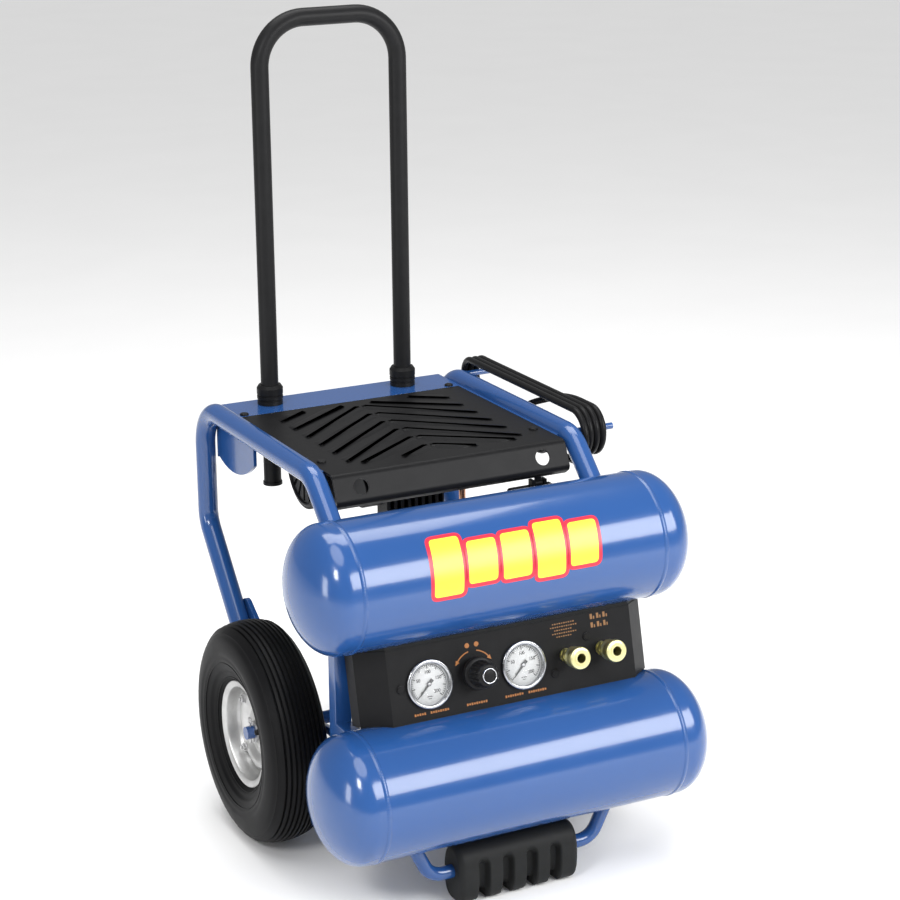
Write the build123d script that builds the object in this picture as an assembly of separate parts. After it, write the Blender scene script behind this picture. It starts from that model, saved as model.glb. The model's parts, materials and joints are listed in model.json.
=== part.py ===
from build123d import *
import os
from math import cos, pi, radians, sin, sqrt, tan

# Wheeled twin-tank ("hotdog") air compressor.
# Frame: millimetres, +Z up, floor at z = 0, +X to the right, -Y towards the
# control panel.  The origin is the bottom centre of the whole machine.

os.makedirs("parts", exist_ok=True)

# ---- driving dimensions ------------------------------------------------------------------
MACHINE_DEPTH = 582.0
WELD_GAP = 0.2              # filler-metal gap between curved welded parts
TANK_RADIUS = 75.0
TANK_LENGTH = 494.0
TANK_WALL = 2.5
BEAD = 0.9                  # weld bead standing proud of the shell
HEAD_DEPTH = 45.0           # domed end of a tank
SEAM_X = 191.0              # girth weld between shell and domed end
LOWER_TANK_Y = TANK_RADIUS + BEAD - MACHINE_DEPTH / 2
UPPER_TANK_Y = LOWER_TANK_Y + 50.0
LOWER_TANK_Z = 155.0
UPPER_TANK_Z = 388.0

FRAME_TUBE = 25.4
FRAME_TUBE_WALL = 2.0
TUBE_X = 169.5
TUBE_TOP_Z = 486.0
TUBE_REAR_Y = MACHINE_DEPTH / 2 - FRAME_TUBE / 2

DECK_TOP_Z = 486.0
DECK_HALF_WIDTH = 152.0
DECK_FRONT_Y = -69.0
DECK_REAR_Y = 206.0
SHEET = 2.5

WHEEL_RADIUS = 136.0
WHEEL_X = 198.0
WHEEL_Y = 54.0
RIM_RADIUS = 65.0
AXLE_RADIUS = 8.0
HUB_BORE = AXLE_RADIUS + 0.06

HANDLE_TUBE = 22.2
HANDLE_X = 92.5
HANDLE_Y = 247.5
HANDLE_TOP_Z = 964.0
HANDLE_BOTTOM_Z = 384.0
HANDLE_BEND = 58.0

PANEL_TILT = 13.0           # degrees that the panel leans back
PANEL_LEFT = -148.0
PANEL_RIGHT = 167.0
PANEL_BOTTOM = -40.5
PANEL_TOP = 45.0
PANEL_CHAMFER = 29.0
PANEL_CHAMFER_DEPTH = 27.0
PANEL_SIDE = 22.0
PANEL_SHEET = 2.0
GAUGE_RADIUS = 28.3
GAUGE_BODY_RADIUS = 25.0
GAUGE_PROUD = 4.5
GAUGE_V = -1.0
TANK_GAUGE_X = -99.0
OUTLET_GAUGE_X = 21.6
KNOB_X = -41.0
KNOB_V = 2.0
COUPLER_XS = (78.0, 125.5)
COUPLER_V = 0.3
COUPLER_BORE = 5.6

SHAFT_Y = 140.0             # motor and crank axis, along X
SHAFT_Z = 431.0
SHAFT_RADIUS = 6.0
CRANK_X = -8.0
CRANK_THROW = 8.0
ECCENTRIC_RADIUS = 15.0
BIG_END_BORE = CRANK_THROW * 2 + ECCENTRIC_RADIUS + 0.6
CYLINDER_BORE = 24.0
PISTON_RADIUS = CYLINDER_BORE - 0.3

CORD = 8.5
COIL_TURNS = 4
COIL_INNER_X = 189.5
COIL_Z = 479.0
COIL_FRONT_Y = -25.0        # centres of the two end bends of the hank
COIL_REAR_Y = 240.0
COIL_BEND = 28.0
HOOK_RADIUS = 4.0

SIDES = (("left", -1), ("right", 1))
ORIENT = {"x": (0, 90, 0), "y": (90, 0, 0), "z": (0, 0, 0)}

panel_plane = Plane(
    origin=(0, -205.0, 271.2),
    x_dir=(1, 0, 0),
    z_dir=(0, -cos(radians(PANEL_TILT)), sin(radians(PANEL_TILT))),
)


# ---- helpers -----------------------------------------------------------------------------
def rod(axis, radius, start, end, across=(0, 0)):
    """Cylinder along one axis from start to end; across gives the other two."""
    turned = Rotation(*ORIENT[axis]) * Cylinder(radius, abs(end - start))
    middle = (start + end) / 2
    places = {
        "x": (middle, across[0], across[1]),
        "y": (across[0], middle, across[1]),
        "z": (across[0], across[1], middle),
    }
    return Pos(*places[axis]) * turned


def block(low, high):
    """Box between two corners."""
    size = [high[i] - low[i] for i in range(3)]
    centre = [(high[i] + low[i]) / 2 for i in range(3)]
    return Pos(*centre) * Box(*size)


def on_panel(x, v, start, end, radius):
    """Cylinder square to the panel face; start and end are heights above it."""
    return panel_plane * Pos(x, v, (start + end) / 2) * Cylinder(radius, end - start)


def swept_tube(points, radii, diameter, bore=0.0):
    """Round tube along straight runs joined by tangent arcs."""
    path = FilletPolyline(*points, radius=radii)
    section = Plane(origin=path @ 0, z_dir=path % 0) * Circle(diameter / 2)
    tube = sweep(section, path=path)
    if bore:
        hole = Plane(origin=path @ 0, z_dir=path % 0) * Circle(bore / 2)
        tube = tube - sweep(hole, path=path)
    return tube


def spun(points, axis_plane):
    """Solid of revolution: points are (radius, height) in axis_plane."""
    outline = axis_plane * make_face(Polyline(*points, close=True))
    return revolve(outline, axis=Axis(axis_plane.origin, axis_plane.y_dir))


def tank_clearance(gap):
    """Two cylinders, gap larger than the tanks, used to cope parts to them."""
    radius = TANK_RADIUS + gap
    upper = rod("x", radius, -260, 260, (UPPER_TANK_Y, UPPER_TANK_Z))
    lower = rod("x", radius, -260, 260, (LOWER_TANK_Y, LOWER_TANK_Z))
    return upper + lower


def save(name, shape):
    """One STEP file for each piece of the machine."""
    solids = shape.solids()
    body = solids[0] if len(solids) == 1 else Compound(children=list(solids))
    body.label = name
    export_step(body, f"parts/{name}.step")


coped_tanks = tank_clearance(WELD_GAP)


# ---- air tanks ---------------------------------------------------------------------------
def tank_outline(radius, half_length, bead):
    """Half section of a tank: shell, weld bead and domed end, both ends."""
    dome_start = half_length - HEAD_DEPTH
    right = [
        Line((SEAM_X - 3, radius), (SEAM_X, radius + bead)),
        Line((SEAM_X, radius + bead), (SEAM_X + 3, radius)),
        Line((SEAM_X + 3, radius), (dome_start, radius)),
        EllipticalCenterArc(
            (dome_start, 0), HEAD_DEPTH - (TANK_RADIUS - radius), radius,
            start_angle=0, arc_size=90,
        ),
    ]
    return right


def tank_solid(radius, half_length, bead):
    right = tank_outline(radius, half_length, bead)
    left = [mirror(edge, about=Plane.YZ) for edge in right]
    top = Line((-SEAM_X + 3, radius), (SEAM_X - 3, radius))
    ends = half_length - (TANK_RADIUS - radius)
    base = Line((-ends, 0), (ends, 0))
    profile = make_face(Curve() + [top, base] + right + left)
    return revolve(profile, axis=Axis.X)


def make_tank(y, z, ports):
    outer = tank_solid(TANK_RADIUS, TANK_LENGTH / 2, BEAD)
    inner = tank_solid(TANK_RADIUS - TANK_WALL, TANK_LENGTH / 2, BEAD)
    tank = Pos(0, y, z) * (outer - inner)
    for port in ports:
        tank = tank - port
    return tank


# The pipe between the tanks drops from the upper tank to the lower one.
LINK_X = 150.0
LINK_Y = -152.0
LINK_RADIUS = 7.0
link_top = UPPER_TANK_Z - sqrt(TANK_RADIUS ** 2 - (LINK_Y - UPPER_TANK_Y) ** 2)
link_bottom = LOWER_TANK_Z + sqrt(TANK_RADIUS ** 2 - (LINK_Y - LOWER_TANK_Y) ** 2)
link_port = rod("z", LINK_RADIUS - 2, link_bottom - 30, link_top + 20, (LINK_X, LINK_Y))
TANK_BACK_Y = UPPER_TANK_Y + TANK_RADIUS

# Fittings on the back of the upper tank.
CHECK_VALVE_X = 62.0
SWITCH_X = 125.0
SAFETY_X = -60.0
PORT_RADIUS = 4.0
back_ports = [
    rod("y", PORT_RADIUS, TANK_BACK_Y - 15, TANK_BACK_Y + 5, (x, UPPER_TANK_Z))
    for x in (CHECK_VALVE_X, SWITCH_X, SAFETY_X)
]

# Drain cock under the lower tank, behind the foot.
DRAIN_Y = LOWER_TANK_Y + 42
drain_top = LOWER_TANK_Z - sqrt(TANK_RADIUS ** 2 - 42 ** 2)
drain_port = rod("z", PORT_RADIUS, drain_top - 10, drain_top + 12, (0, DRAIN_Y))

save("upper_tank", make_tank(UPPER_TANK_Y, UPPER_TANK_Z, [link_port] + back_ports))
save("lower_tank", make_tank(LOWER_TANK_Y, LOWER_TANK_Z, [link_port, drain_port]))

link_pipe = rod("z", LINK_RADIUS, link_bottom - 6, link_top + 6, (LINK_X, LINK_Y))
link_pipe = link_pipe - coped_tanks
link_nut = rod("z", LINK_RADIUS + 2.5, 245, 263, (LINK_X, LINK_Y))
link_bore = rod("z", LINK_RADIUS - 2, link_bottom - 8, link_top + 8, (LINK_X, LINK_Y))
save("tank_link_pipe", link_pipe + link_nut - link_bore)

# ---- struts between the tanks ------------------------------------------------------------
STRUT_LEFT_X = -177.0
STRUT_RIGHT_X = 175.0
struts = []
for strut_x in (STRUT_LEFT_X, STRUT_RIGHT_X):
    post = block((strut_x - 10, -143, 150), (strut_x + 10, -125, 345))
    saddle = block((strut_x - 10, -172, 185), (strut_x + 10, -125, 216))
    struts.append((post + saddle) - tank_clearance(WELD_GAP))
save("tank_struts", Compound(children=struts))

# ---- side tubes, one bent tube on each side ----------------------------------------------
TUBE_FOOT_Y = 183.0
TUBE_FOOT_Z = 224.6
for side, sign in SIDES:
    route = [
        (sign * TUBE_X, -112.0, 434.0),
        (sign * TUBE_X, -58.0, TUBE_TOP_Z),
        (sign * TUBE_X, TUBE_REAR_Y, TUBE_TOP_Z),
        (sign * TUBE_X, TUBE_REAR_Y, 336.0),
        (sign * TUBE_X, TUBE_FOOT_Y, TUBE_FOOT_Z),
    ]
    bends = [45.0, 50.0, 40.0]
    tube = swept_tube(route, bends, FRAME_TUBE, FRAME_TUBE - 2 * FRAME_TUBE_WALL)
    save(f"side_tube_{side}", tube - coped_tanks)

# ---- wheel brackets ----------------------------------------------------------------------
BRACKET_INNER = 150.6
BRACKET_OUTER = TUBE_X - FRAME_TUBE / 2 - WELD_GAP
for side, sign in SIDES:
    hub_boss = Pos(WHEEL_Y, WHEEL_RADIUS) * Circle(20)
    tube_pad = Pos(TUBE_FOOT_Y + 12, TUBE_FOOT_Z + 14) * Circle(14)
    tank_pad = Pos(-146, 155) * Rectangle(20, 56)
    upper_arm = make_hull(hub_boss.edges() + tube_pad.edges())
    lower_arm = make_hull(hub_boss.edges() + tank_pad.edges())
    outline = upper_arm + lower_arm - Pos(WHEEL_Y, WHEEL_RADIUS) * Circle(AXLE_RADIUS + 0.1)
    outline = outline - Pos(-45, 148) * SlotOverall(90, 26)
    thickness = BRACKET_OUTER - BRACKET_INNER
    plate = extrude(Plane.YZ * outline, thickness)
    start = BRACKET_INNER if sign > 0 else -BRACKET_OUTER
    save(f"wheel_bracket_{side}", Pos(start, 0, 0) * plate - coped_tanks)

# ---- deck frame: rear crossbar and side rails --------------------------------------------
CROSSBAR_DEPTH = 64.0
crossbar_top = DECK_TOP_Z - SHEET
crossbar_rear = TUBE_REAR_Y - FRAME_TUBE / 2 + 6
beam_edge = BRACKET_OUTER
gusset_drop = 74.0
top_plate = block((-beam_edge, DECK_REAR_Y + 0.5, crossbar_top), (beam_edge, crossbar_rear, DECK_TOP_Z))
rear_wall = block(
    (-beam_edge, crossbar_rear - 3, crossbar_top - CROSSBAR_DEPTH),
    (beam_edge, crossbar_rear, crossbar_top),
)
deck_frame = top_plate + rear_wall
for sign in (-1, 1):
    low_z = DECK_TOP_Z - gusset_drop
    gusset = make_face(
        Curve()
        + [
            Line((152, DECK_TOP_Z), (crossbar_rear, DECK_TOP_Z)),
            Line((crossbar_rear, DECK_TOP_Z), (crossbar_rear, low_z + 12)),
            ThreePointArc((crossbar_rear, low_z + 12), (220, low_z), (152, low_z + 26)),
            Line((152, low_z + 26), (152, DECK_TOP_Z)),
        ]
    )
    rail = make_face(Polyline((-48, 466), (153, 466), (153, DECK_TOP_Z), (-48, DECK_TOP_Z), close=True))
    start = DECK_HALF_WIDTH + 0.4 if sign > 0 else -beam_edge
    width = beam_edge - DECK_HALF_WIDTH - 0.4
    side_plate = extrude(Plane.YZ * (gusset + rail), width)
    deck_frame = deck_frame + Pos(start, 0, 0) * side_plate
    shelf_low = (sign * beam_edge, -48, crossbar_top - 3)
    shelf_high = (sign * (DECK_HALF_WIDTH - 17), DECK_REAR_Y + 2, crossbar_top)
    low = (min(shelf_low[0], shelf_high[0]), shelf_low[1], shelf_low[2])
    high = (max(shelf_low[0], shelf_high[0]), shelf_high[1], shelf_high[2])
    deck_frame = deck_frame + block(low, high)
    deck_frame = deck_frame - rod("z", 14.1, 470, 500, (sign * HANDLE_X, HANDLE_Y))
DECK_SCREWS = ((-140, -15), (140, -15), (-142, 213), (142, 213))
SCREW_SHANK = 2.5
for screw_x, screw_y in DECK_SCREWS:
    deck_frame = deck_frame - rod("z", SCREW_SHANK + 0.2, 470, 490, (screw_x, screw_y))
save("deck_frame", deck_frame)

# ---- deck plate --------------------------------------------------------------------------
middle_z = DECK_TOP_Z - SHEET / 2
deck_path = FilletPolyline(
    (DECK_REAR_Y, middle_z),
    (DECK_FRONT_Y, middle_z),
    (-84.0, 454.0),
    (-72.0, 446.0),
    radius=[7.0, 6.0],
)
deck_section = trace(deck_path, SHEET)
deck_plate = extrude(Plane.YZ * deck_section, 2 * DECK_HALF_WIDTH)
deck_plate = Pos(-DECK_HALF_WIDTH, 0, 0) * deck_plate
lip_lean = 26.0
lip_plane = Plane(
    origin=(0, -77.0, 470.0),
    x_dir=(1, 0, 0),
    z_dir=(0, -cos(radians(lip_lean)), sin(radians(lip_lean))),
)
LIP_HOLE = 9.5
for hole_x in (-118.5, 118.5):
    deck_plate = deck_plate - lip_plane * Pos(hole_x, 0, 0) * Cylinder(LIP_HOLE, 12)
for screw_x, screw_y in DECK_SCREWS[:2]:
    deck_plate = deck_plate - rod("z", SCREW_SHANK + 0.2, 470, 490, (screw_x, screw_y))
save("deck_plate", deck_plate)

deck_screws = []
for screw_x, screw_y in DECK_SCREWS:
    head = rod("z", 5.5, DECK_TOP_Z, DECK_TOP_Z + 2.6, (screw_x, screw_y))
    head = fillet(head.edges().group_by(Axis.Z)[-1], 1.8)
    shank = rod("z", SCREW_SHANK, DECK_TOP_Z - 14, DECK_TOP_Z, (screw_x, screw_y))
    deck_screws.append(head + shank)
save("deck_screws", Compound(children=deck_screws))

# ---- telescoping handle ------------------------------------------------------------------
handle_path = [
    (-HANDLE_X, HANDLE_Y, HANDLE_BOTTOM_Z),
    (-HANDLE_X, HANDLE_Y, HANDLE_TOP_Z),
    (HANDLE_X, HANDLE_Y, HANDLE_TOP_Z),
    (HANDLE_X, HANDLE_Y, HANDLE_BOTTOM_Z),
]
handle = swept_tube(handle_path, [HANDLE_BEND] * 2, HANDLE_TUBE, HANDLE_TUBE - 3.2)
for sign in (-1, 1):
    across = (sign * HANDLE_X, HANDLE_Y)
    plug_body = rod("z", HANDLE_TUBE / 2 - 1.6, HANDLE_BOTTOM_Z, HANDLE_BOTTOM_Z + 16, across)
    plug_cap = rod("z", HANDLE_TUBE / 2 + 1.2, HANDLE_BOTTOM_Z - 4, HANDLE_BOTTOM_Z, across)
    handle = handle + plug_body + plug_cap
save("handle", handle)

bushings = []
for sign in (-1, 1):
    base = Plane(origin=(sign * HANDLE_X, HANDLE_Y, DECK_TOP_Z), x_dir=(1, 0, 0), z_dir=(0, -1, 0))
    bore = HANDLE_TUBE / 2 + 0.08
    ribs = [(bore, -34), (13.9, -34), (13.9, 0.1), (16, 0.1), (16, 5), (14.8, 5.6), (14.8, 7),
            (16.4, 7.6), (16.4, 11), (15, 11.6), (15, 13), (16.6, 13.6), (16.6, 21), (14, 25),
            (bore, 25)]
    bushings.append(spun(ribs, base))
save("handle_bushings", Compound(children=bushings))

# ---- wheels, axle ------------------------------------------------------------------------
AXLE_TIP = 219.0
save("axle", rod("x", AXLE_RADIUS, -AXLE_TIP, AXLE_TIP, (WHEEL_Y, WHEEL_RADIUS))
     - rod("z", 1.7, WHEEL_RADIUS - 12, WHEEL_RADIUS + 12, (-AXLE_TIP + 6, WHEEL_Y))
     - rod("z", 1.7, WHEEL_RADIUS - 12, WHEEL_RADIUS + 12, (AXLE_TIP - 6, WHEEL_Y)))

HUB_INNER_X = 162.0
HUB_OUTER_X = 207.0
fasteners = []
for sign in (-1, 1):
    washer_start = sign * (HUB_OUTER_X + 0.3)
    washer = rod("x", 13, washer_start, washer_start + sign * 2.5, (WHEEL_Y, WHEEL_RADIUS))
    washer = washer - rod("x", AXLE_RADIUS + 0.05, sign * 200, sign * 230, (WHEEL_Y, WHEEL_RADIUS))
    pin_x = sign * (AXLE_TIP - 6)
    pin = rod("z", 1.6, WHEEL_RADIUS - 13, WHEEL_RADIUS + 13, (pin_x, WHEEL_Y))
    eye = Pos(pin_x, WHEEL_Y, WHEEL_RADIUS + 15.5) * Rotation(0, 90, 0) * Torus(3.2, 1.3)
    collar_start = sign * (BRACKET_OUTER + 0.4)
    collar = rod("x", 11, collar_start, sign * (HUB_INNER_X - 0.3), (WHEEL_Y, WHEEL_RADIUS))
    collar = collar - rod("x", AXLE_RADIUS + 0.05, sign * 150, sign * 170, (WHEEL_Y, WHEEL_RADIUS))
    fasteners += [washer, pin + eye, collar]
save("axle_fasteners", Compound(children=fasteners))

# Tyre section: radius, offset from the wheel's mid-plane, outer side first.
TREAD_GROOVE = 3.0
tyre_half = [
    (RIM_RADIUS - 6, 21.0), (RIM_RADIUS + 1, 24.0), (RIM_RADIUS + 8, 31.0), (92, 38.0), (103, 39.0),
    (116, 36.5), (126, 30.0), (131.5, 24.0), (133.5, 19.0), (133.5 - TREAD_GROOVE, 17.8),
    (133.5 - TREAD_GROOVE, 14.8), (134.8, 13.6), (135.6, 8.0), (135.6 - TREAD_GROOVE, 6.9),
    (135.6 - TREAD_GROOVE, 3.9), (WHEEL_RADIUS, 2.8),
]
bead_core = [(RIM_RADIUS - 6, 17.5), (RIM_RADIUS + 8, 24.0), (92, 31.0), (103, 32.0), (114, 29.5),
             (123, 21.0), (126.5, 8.0)]


def mirrored(half):
    """Close a half section by repeating it on the other side of the mid-plane."""
    return half + [(radius, -offset) for radius, offset in reversed(half)]


for side, sign in SIDES:
    wheel_plane = Plane(
        origin=(sign * WHEEL_X, WHEEL_Y, WHEEL_RADIUS), x_dir=(0, 0, 1), z_dir=(0, sign, 0)
    )
    # the plane's own Y points outwards along the axle, so outlines are (radius, offset)
    carcass = mirrored(tyre_half)
    inside = mirrored(bead_core)
    tyre = spun(carcass + list(reversed(inside)), wheel_plane)
    save(f"tyre_{side}", tyre)

    gap = 0.3
    rim_outline = [
        (HUB_BORE, HUB_OUTER_X - WHEEL_X), (14, HUB_OUTER_X - WHEEL_X), (17, 5.0), (30, 3.0),
        (36, 7.0), (44, 9.0), (52, 3.0), (RIM_RADIUS - 8.5, 14.0), (RIM_RADIUS - 8.5, 22.0),
        (RIM_RADIUS, 25.6), (RIM_RADIUS + 0.8, 24.8 + gap), (RIM_RADIUS - 6 - gap, 21.0 + gap),
        (RIM_RADIUS - 6 - gap, -21.0 - gap), (RIM_RADIUS + 0.8, -24.8 - gap), (RIM_RADIUS, -25.6),
        (RIM_RADIUS - 8.5, -22.0), (RIM_RADIUS - 8.5, 11.0), (52, 0.0), (44, 6.0), (37, 4.0),
        (31, 0.0), (17, 0.0), (14, -5.0), (14, HUB_INNER_X - WHEEL_X), (HUB_BORE, HUB_INNER_X - WHEEL_X),
    ]
    rim = spun(rim_outline, wheel_plane)
    save(f"rim_{side}", rim)

# ---- front foot --------------------------------------------------------------------------
FOOT_TUBE = 16.5
FOOT_TUBE_Z = 38.0
foot_route = [
    (-130.0, LOWER_TANK_Y, 86.0),
    (-106.0, LOWER_TANK_Y, FOOT_TUBE_Z),
    (106.0, LOWER_TANK_Y, FOOT_TUBE_Z),
    (130.0, LOWER_TANK_Y, 86.0),
]
foot_tube = swept_tube(foot_route, [26.0, 26.0], FOOT_TUBE)
save("foot_tube", foot_tube - coped_tanks)

FOOT_HALF_LENGTH = 78.0
FOOT_RIBS = 5
RIB_PITCH = 2 * FOOT_HALF_LENGTH / FOOT_RIBS
pad_outline = Pos(LOWER_TANK_Y, 46) * Circle(24) + Pos(LOWER_TANK_Y, 23) * Rectangle(48, 46)
core_outline = Pos(LOWER_TANK_Y, 44) * Circle(19) + Pos(LOWER_TANK_Y, 22.5) * Rectangle(38, 37)
foot_pad = Pos(-FOOT_HALF_LENGTH, 0, 0) * extrude(Plane.YZ * core_outline, 2 * FOOT_HALF_LENGTH)
for index in range(FOOT_RIBS):
    rib = extrude(Plane.YZ * pad_outline, RIB_PITCH - 5)
    rib = fillet(rib.edges().filter_by(GeomType.LINE, reverse=True), 5)
    foot_pad = foot_pad + Pos(-FOOT_HALF_LENGTH + 2.5 + index * RIB_PITCH, 0, 0) * rib
foot_pad = foot_pad - rod("x", FOOT_TUBE / 2 + 0.05, -90, 90, (LOWER_TANK_Y, FOOT_TUBE_Z))
save("foot_pad", foot_pad)

# ---- cord hooks --------------------------------------------------------------------------
hooks = []
hook_reach = 233.0
hook_start = TUBE_X + FRAME_TUBE / 2 + WELD_GAP
hook_drop = COIL_BEND - CORD / 2 - HOOK_RADIUS - 0.4
HOOK_LIFT = radians(17)     # the hooks bear on the upper part of each end bend
hook_front_y = COIL_FRONT_Y - hook_drop * cos(HOOK_LIFT)
hook_rear_y = COIL_REAR_Y + hook_drop * cos(HOOK_LIFT)
hook_z = COIL_Z + hook_drop * sin(HOOK_LIFT)
for hook_y in (hook_front_y, hook_rear_y):
    hooks.append(rod("x", HOOK_RADIUS, hook_start, hook_reach, (hook_y, hook_z)))
save("cord_hooks", Compound(children=hooks))

# ---- control panel -----------------------------------------------------------------------
half = PANEL_SHEET / 2
left_edge = PANEL_LEFT - PANEL_CHAMFER
right_edge = PANEL_RIGHT + PANEL_CHAMFER
panel_path = Polyline(
    (left_edge + half, -PANEL_CHAMFER_DEPTH - PANEL_SIDE),
    (left_edge + half, -PANEL_CHAMFER_DEPTH),
    (PANEL_LEFT, -half),
    (PANEL_RIGHT, -half),
    (right_edge - half, -PANEL_CHAMFER_DEPTH),
    (right_edge - half, -PANEL_CHAMFER_DEPTH - PANEL_SIDE),
)
panel_height = PANEL_TOP - PANEL_BOTTOM
panel_section = trace(panel_path, PANEL_SHEET)
panel_sketch_plane = Plane(origin=(0, PANEL_BOTTOM, 0), x_dir=(1, 0, 0), z_dir=(0, -1, 0))
panel_wall = extrude(panel_sketch_plane * panel_section, -panel_height)
panel = panel_plane * panel_wall
for flange_v in (PANEL_BOTTOM, PANEL_TOP - PANEL_SHEET):
    flange = Pos(
        (PANEL_LEFT + PANEL_RIGHT) / 2, flange_v + half, -7.5
    ) * Box(PANEL_RIGHT - PANEL_LEFT, PANEL_SHEET, 13)
    panel = panel + panel_plane * flange
for gauge_x in (TANK_GAUGE_X, OUTLET_GAUGE_X):
    panel = panel - on_panel(gauge_x, GAUGE_V, -6, 2, GAUGE_BODY_RADIUS + 0.3)
panel = panel - on_panel(KNOB_X, KNOB_V, -6, 2, 12.3)
for coupler_x in COUPLER_XS:
    panel = panel - on_panel(coupler_x, COUPLER_V, -6, 2, 8.3)
PANEL_SCREWS = ((-135.0, -1.0), (61.0, -18.0), (107.0, 17.5))
for screw_x, screw_v in PANEL_SCREWS:
    panel = panel - on_panel(screw_x, screw_v, -6, 2, 1.9)
panel = panel - tank_clearance(1.5)
save("control_panel", panel)

panel_screws = []
for screw_x, screw_v in PANEL_SCREWS:
    head = on_panel(screw_x, screw_v, 0.0, 2.2, 4.0)
    shank = on_panel(screw_x, screw_v, -10, 0.0, 1.7)
    panel_screws.append(head + shank)
save("panel_screws", Compound(children=panel_screws))

# ---- gauges ------------------------------------------------------------------------------
NEEDLE_LENGTH = 17.0
for name, gauge_x in (("tank_gauge", TANK_GAUGE_X), ("outlet_gauge", OUTLET_GAUGE_X)):
    case = on_panel(gauge_x, GAUGE_V, -22, 0.1, GAUGE_BODY_RADIUS)
    case = case + on_panel(gauge_x, GAUGE_V, 0.1, GAUGE_PROUD, GAUGE_RADIUS)
    case = case - on_panel(gauge_x, GAUGE_V, -1.5, GAUGE_PROUD + 1, 24.0)
    case = case + on_panel(gauge_x, GAUGE_V, -2, 0.8, 1.0)
    stem = on_panel(gauge_x, GAUGE_V, -38, -22, 6.0)
    save(f"{name}_case", case + stem)
    needle = on_panel(gauge_x, GAUGE_V, -0.6, 1.4, 3.0)
    pointer = panel_plane * Pos(gauge_x, GAUGE_V, 0.2) * Rotation(0, 0, -135) * Pos(
        (NEEDLE_LENGTH - 5) / 2, 0, 0) * Box(NEEDLE_LENGTH + 5, 1.6, 0.6)
    needle = needle + pointer - on_panel(gauge_x, GAUGE_V, -1, 0.85, 1.06)
    save(f"{name}_needle", needle)
    save(f"{name}_lens", on_panel(gauge_x, GAUGE_V, 2.6, 3.6, 23.7))

# ---- manifold, regulator -----------------------------------------------------------------
MANIFOLD_FRONT = -38.2
manifold = panel_plane * Pos(5, 0, MANIFOLD_FRONT - 9) * Box(260, 20, 18)
feed_x = 100.0
feed_pipe = rod("z", 6.0, 270, 330, (feed_x, -146))
save("manifold", manifold + (feed_pipe - coped_tanks))

regulator = on_panel(KNOB_X, KNOB_V, MANIFOLD_FRONT + 0.1, -4, 16.0)
regulator = regulator + on_panel(KNOB_X, KNOB_V, -4, 6, 12.0)
regulator = regulator + on_panel(KNOB_X, KNOB_V, 6, 30, 5.0)
save("regulator_body", regulator)

knob_profile = [(5.06, 8.0), (19.0, 8.0), (19.0, 16.0), (17.6, 18.0), (14.0, 20.0), (13.4, 34.0),
                (11.0, 36.5), (8.8, 36.5), (8.8, 39.5), (5.06, 39.5)]
knob_plane = panel_plane * Pos(KNOB_X, KNOB_V, 0) * Rotation(90, 0, 0)
knob_base = Plane(knob_plane)
knob = spun(knob_profile, knob_base)
flute_count = 12
for index in range(flute_count):
    angle = index * 360 / flute_count
    flute = Rotation(0, 0, angle) * Pos(14.9, 0, 27.0) * Cylinder(1.6, 14)
    knob = knob - panel_plane * Pos(KNOB_X, KNOB_V, 0) * flute
save("regulator_knob", knob)

# ---- quick couplers ----------------------------------------------------------------------
for index, coupler_x in enumerate(COUPLER_XS):
    core = on_panel(coupler_x, COUPLER_V, MANIFOLD_FRONT + 0.1, 2, 8.0)
    core = core + panel_plane * Pos(coupler_x, COUPLER_V, 5) * extrude(RegularPolygon(9.5, 6), 5)
    core = core + on_panel(coupler_x, COUPLER_V, 2, 5, 7.0) + on_panel(coupler_x, COUPLER_V, 10, 37, 8.2)
    core = core - on_panel(coupler_x, COUPLER_V, 14, 40, COUPLER_BORE)
    save(f"coupler_{index + 1}_body", core)
    sleeve_profile = [(8.28, 17.0), (12.0, 17.0), (12.0, 21.0), (11.2, 22.0), (11.2, 28.5), (13.2, 29.5),
                      (13.2, 35.0), (12.0, 36.4), (8.28, 36.4)]
    sleeve_plane = Plane(panel_plane * Pos(coupler_x, COUPLER_V, 0) * Rotation(90, 0, 0))
    save(f"coupler_{index + 1}_sleeve", spun(sleeve_profile, sleeve_plane))

# ---- fittings on the back of the upper tank ----------------------------------------------
tank_face = TANK_BACK_Y + 0.2
check_valve = rod("y", 9, tank_face, -62, (CHECK_VALVE_X, UPPER_TANK_Z))
save("check_valve", check_valve - rod("y", 3, tank_face - 1, -75, (CHECK_VALVE_X, UPPER_TANK_Z)))

HEAD_RIGHT_X = 31.0
discharge_route = [
    (HEAD_RIGHT_X + 0.1, 22.0, SHAFT_Z),
    (CHECK_VALVE_X, 22.0, SHAFT_Z),
    (CHECK_VALVE_X, 22.0, UPPER_TANK_Z),
    (CHECK_VALVE_X, -61.9, UPPER_TANK_Z),
]
save("discharge_tube", swept_tube(discharge_route, [15.0, 15.0], 8.0, 5.0))

switch_box = block((SWITCH_X - 32, -74, 352), (SWITCH_X + 28, -32, 424))
switch_box = fillet(switch_box.edges(), 4)
switch_neck = rod("y", 8, tank_face, -73, (SWITCH_X, UPPER_TANK_Z))
lever_y = -53.0
lever_z = 431.0
lever_ears = block((SWITCH_X - 10, lever_y - 5, 423), (SWITCH_X - 6, lever_y + 5, 436))
lever_ears = lever_ears + block((SWITCH_X + 6, lever_y - 5, 423), (SWITCH_X + 10, lever_y + 5, 436))
lever_pin = rod("x", 1.5, SWITCH_X - 8, SWITCH_X + 8, (lever_y, lever_z))
save("pressure_switch", switch_box + switch_neck + lever_ears + lever_pin)
lever = rod("x", 4, SWITCH_X - 5, SWITCH_X + 5, (lever_y, lever_z))
lever = lever + block((SWITCH_X - 4, lever_y - 1.5, lever_z), (SWITCH_X + 4, lever_y + 1.5, lever_z + 22))
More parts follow.
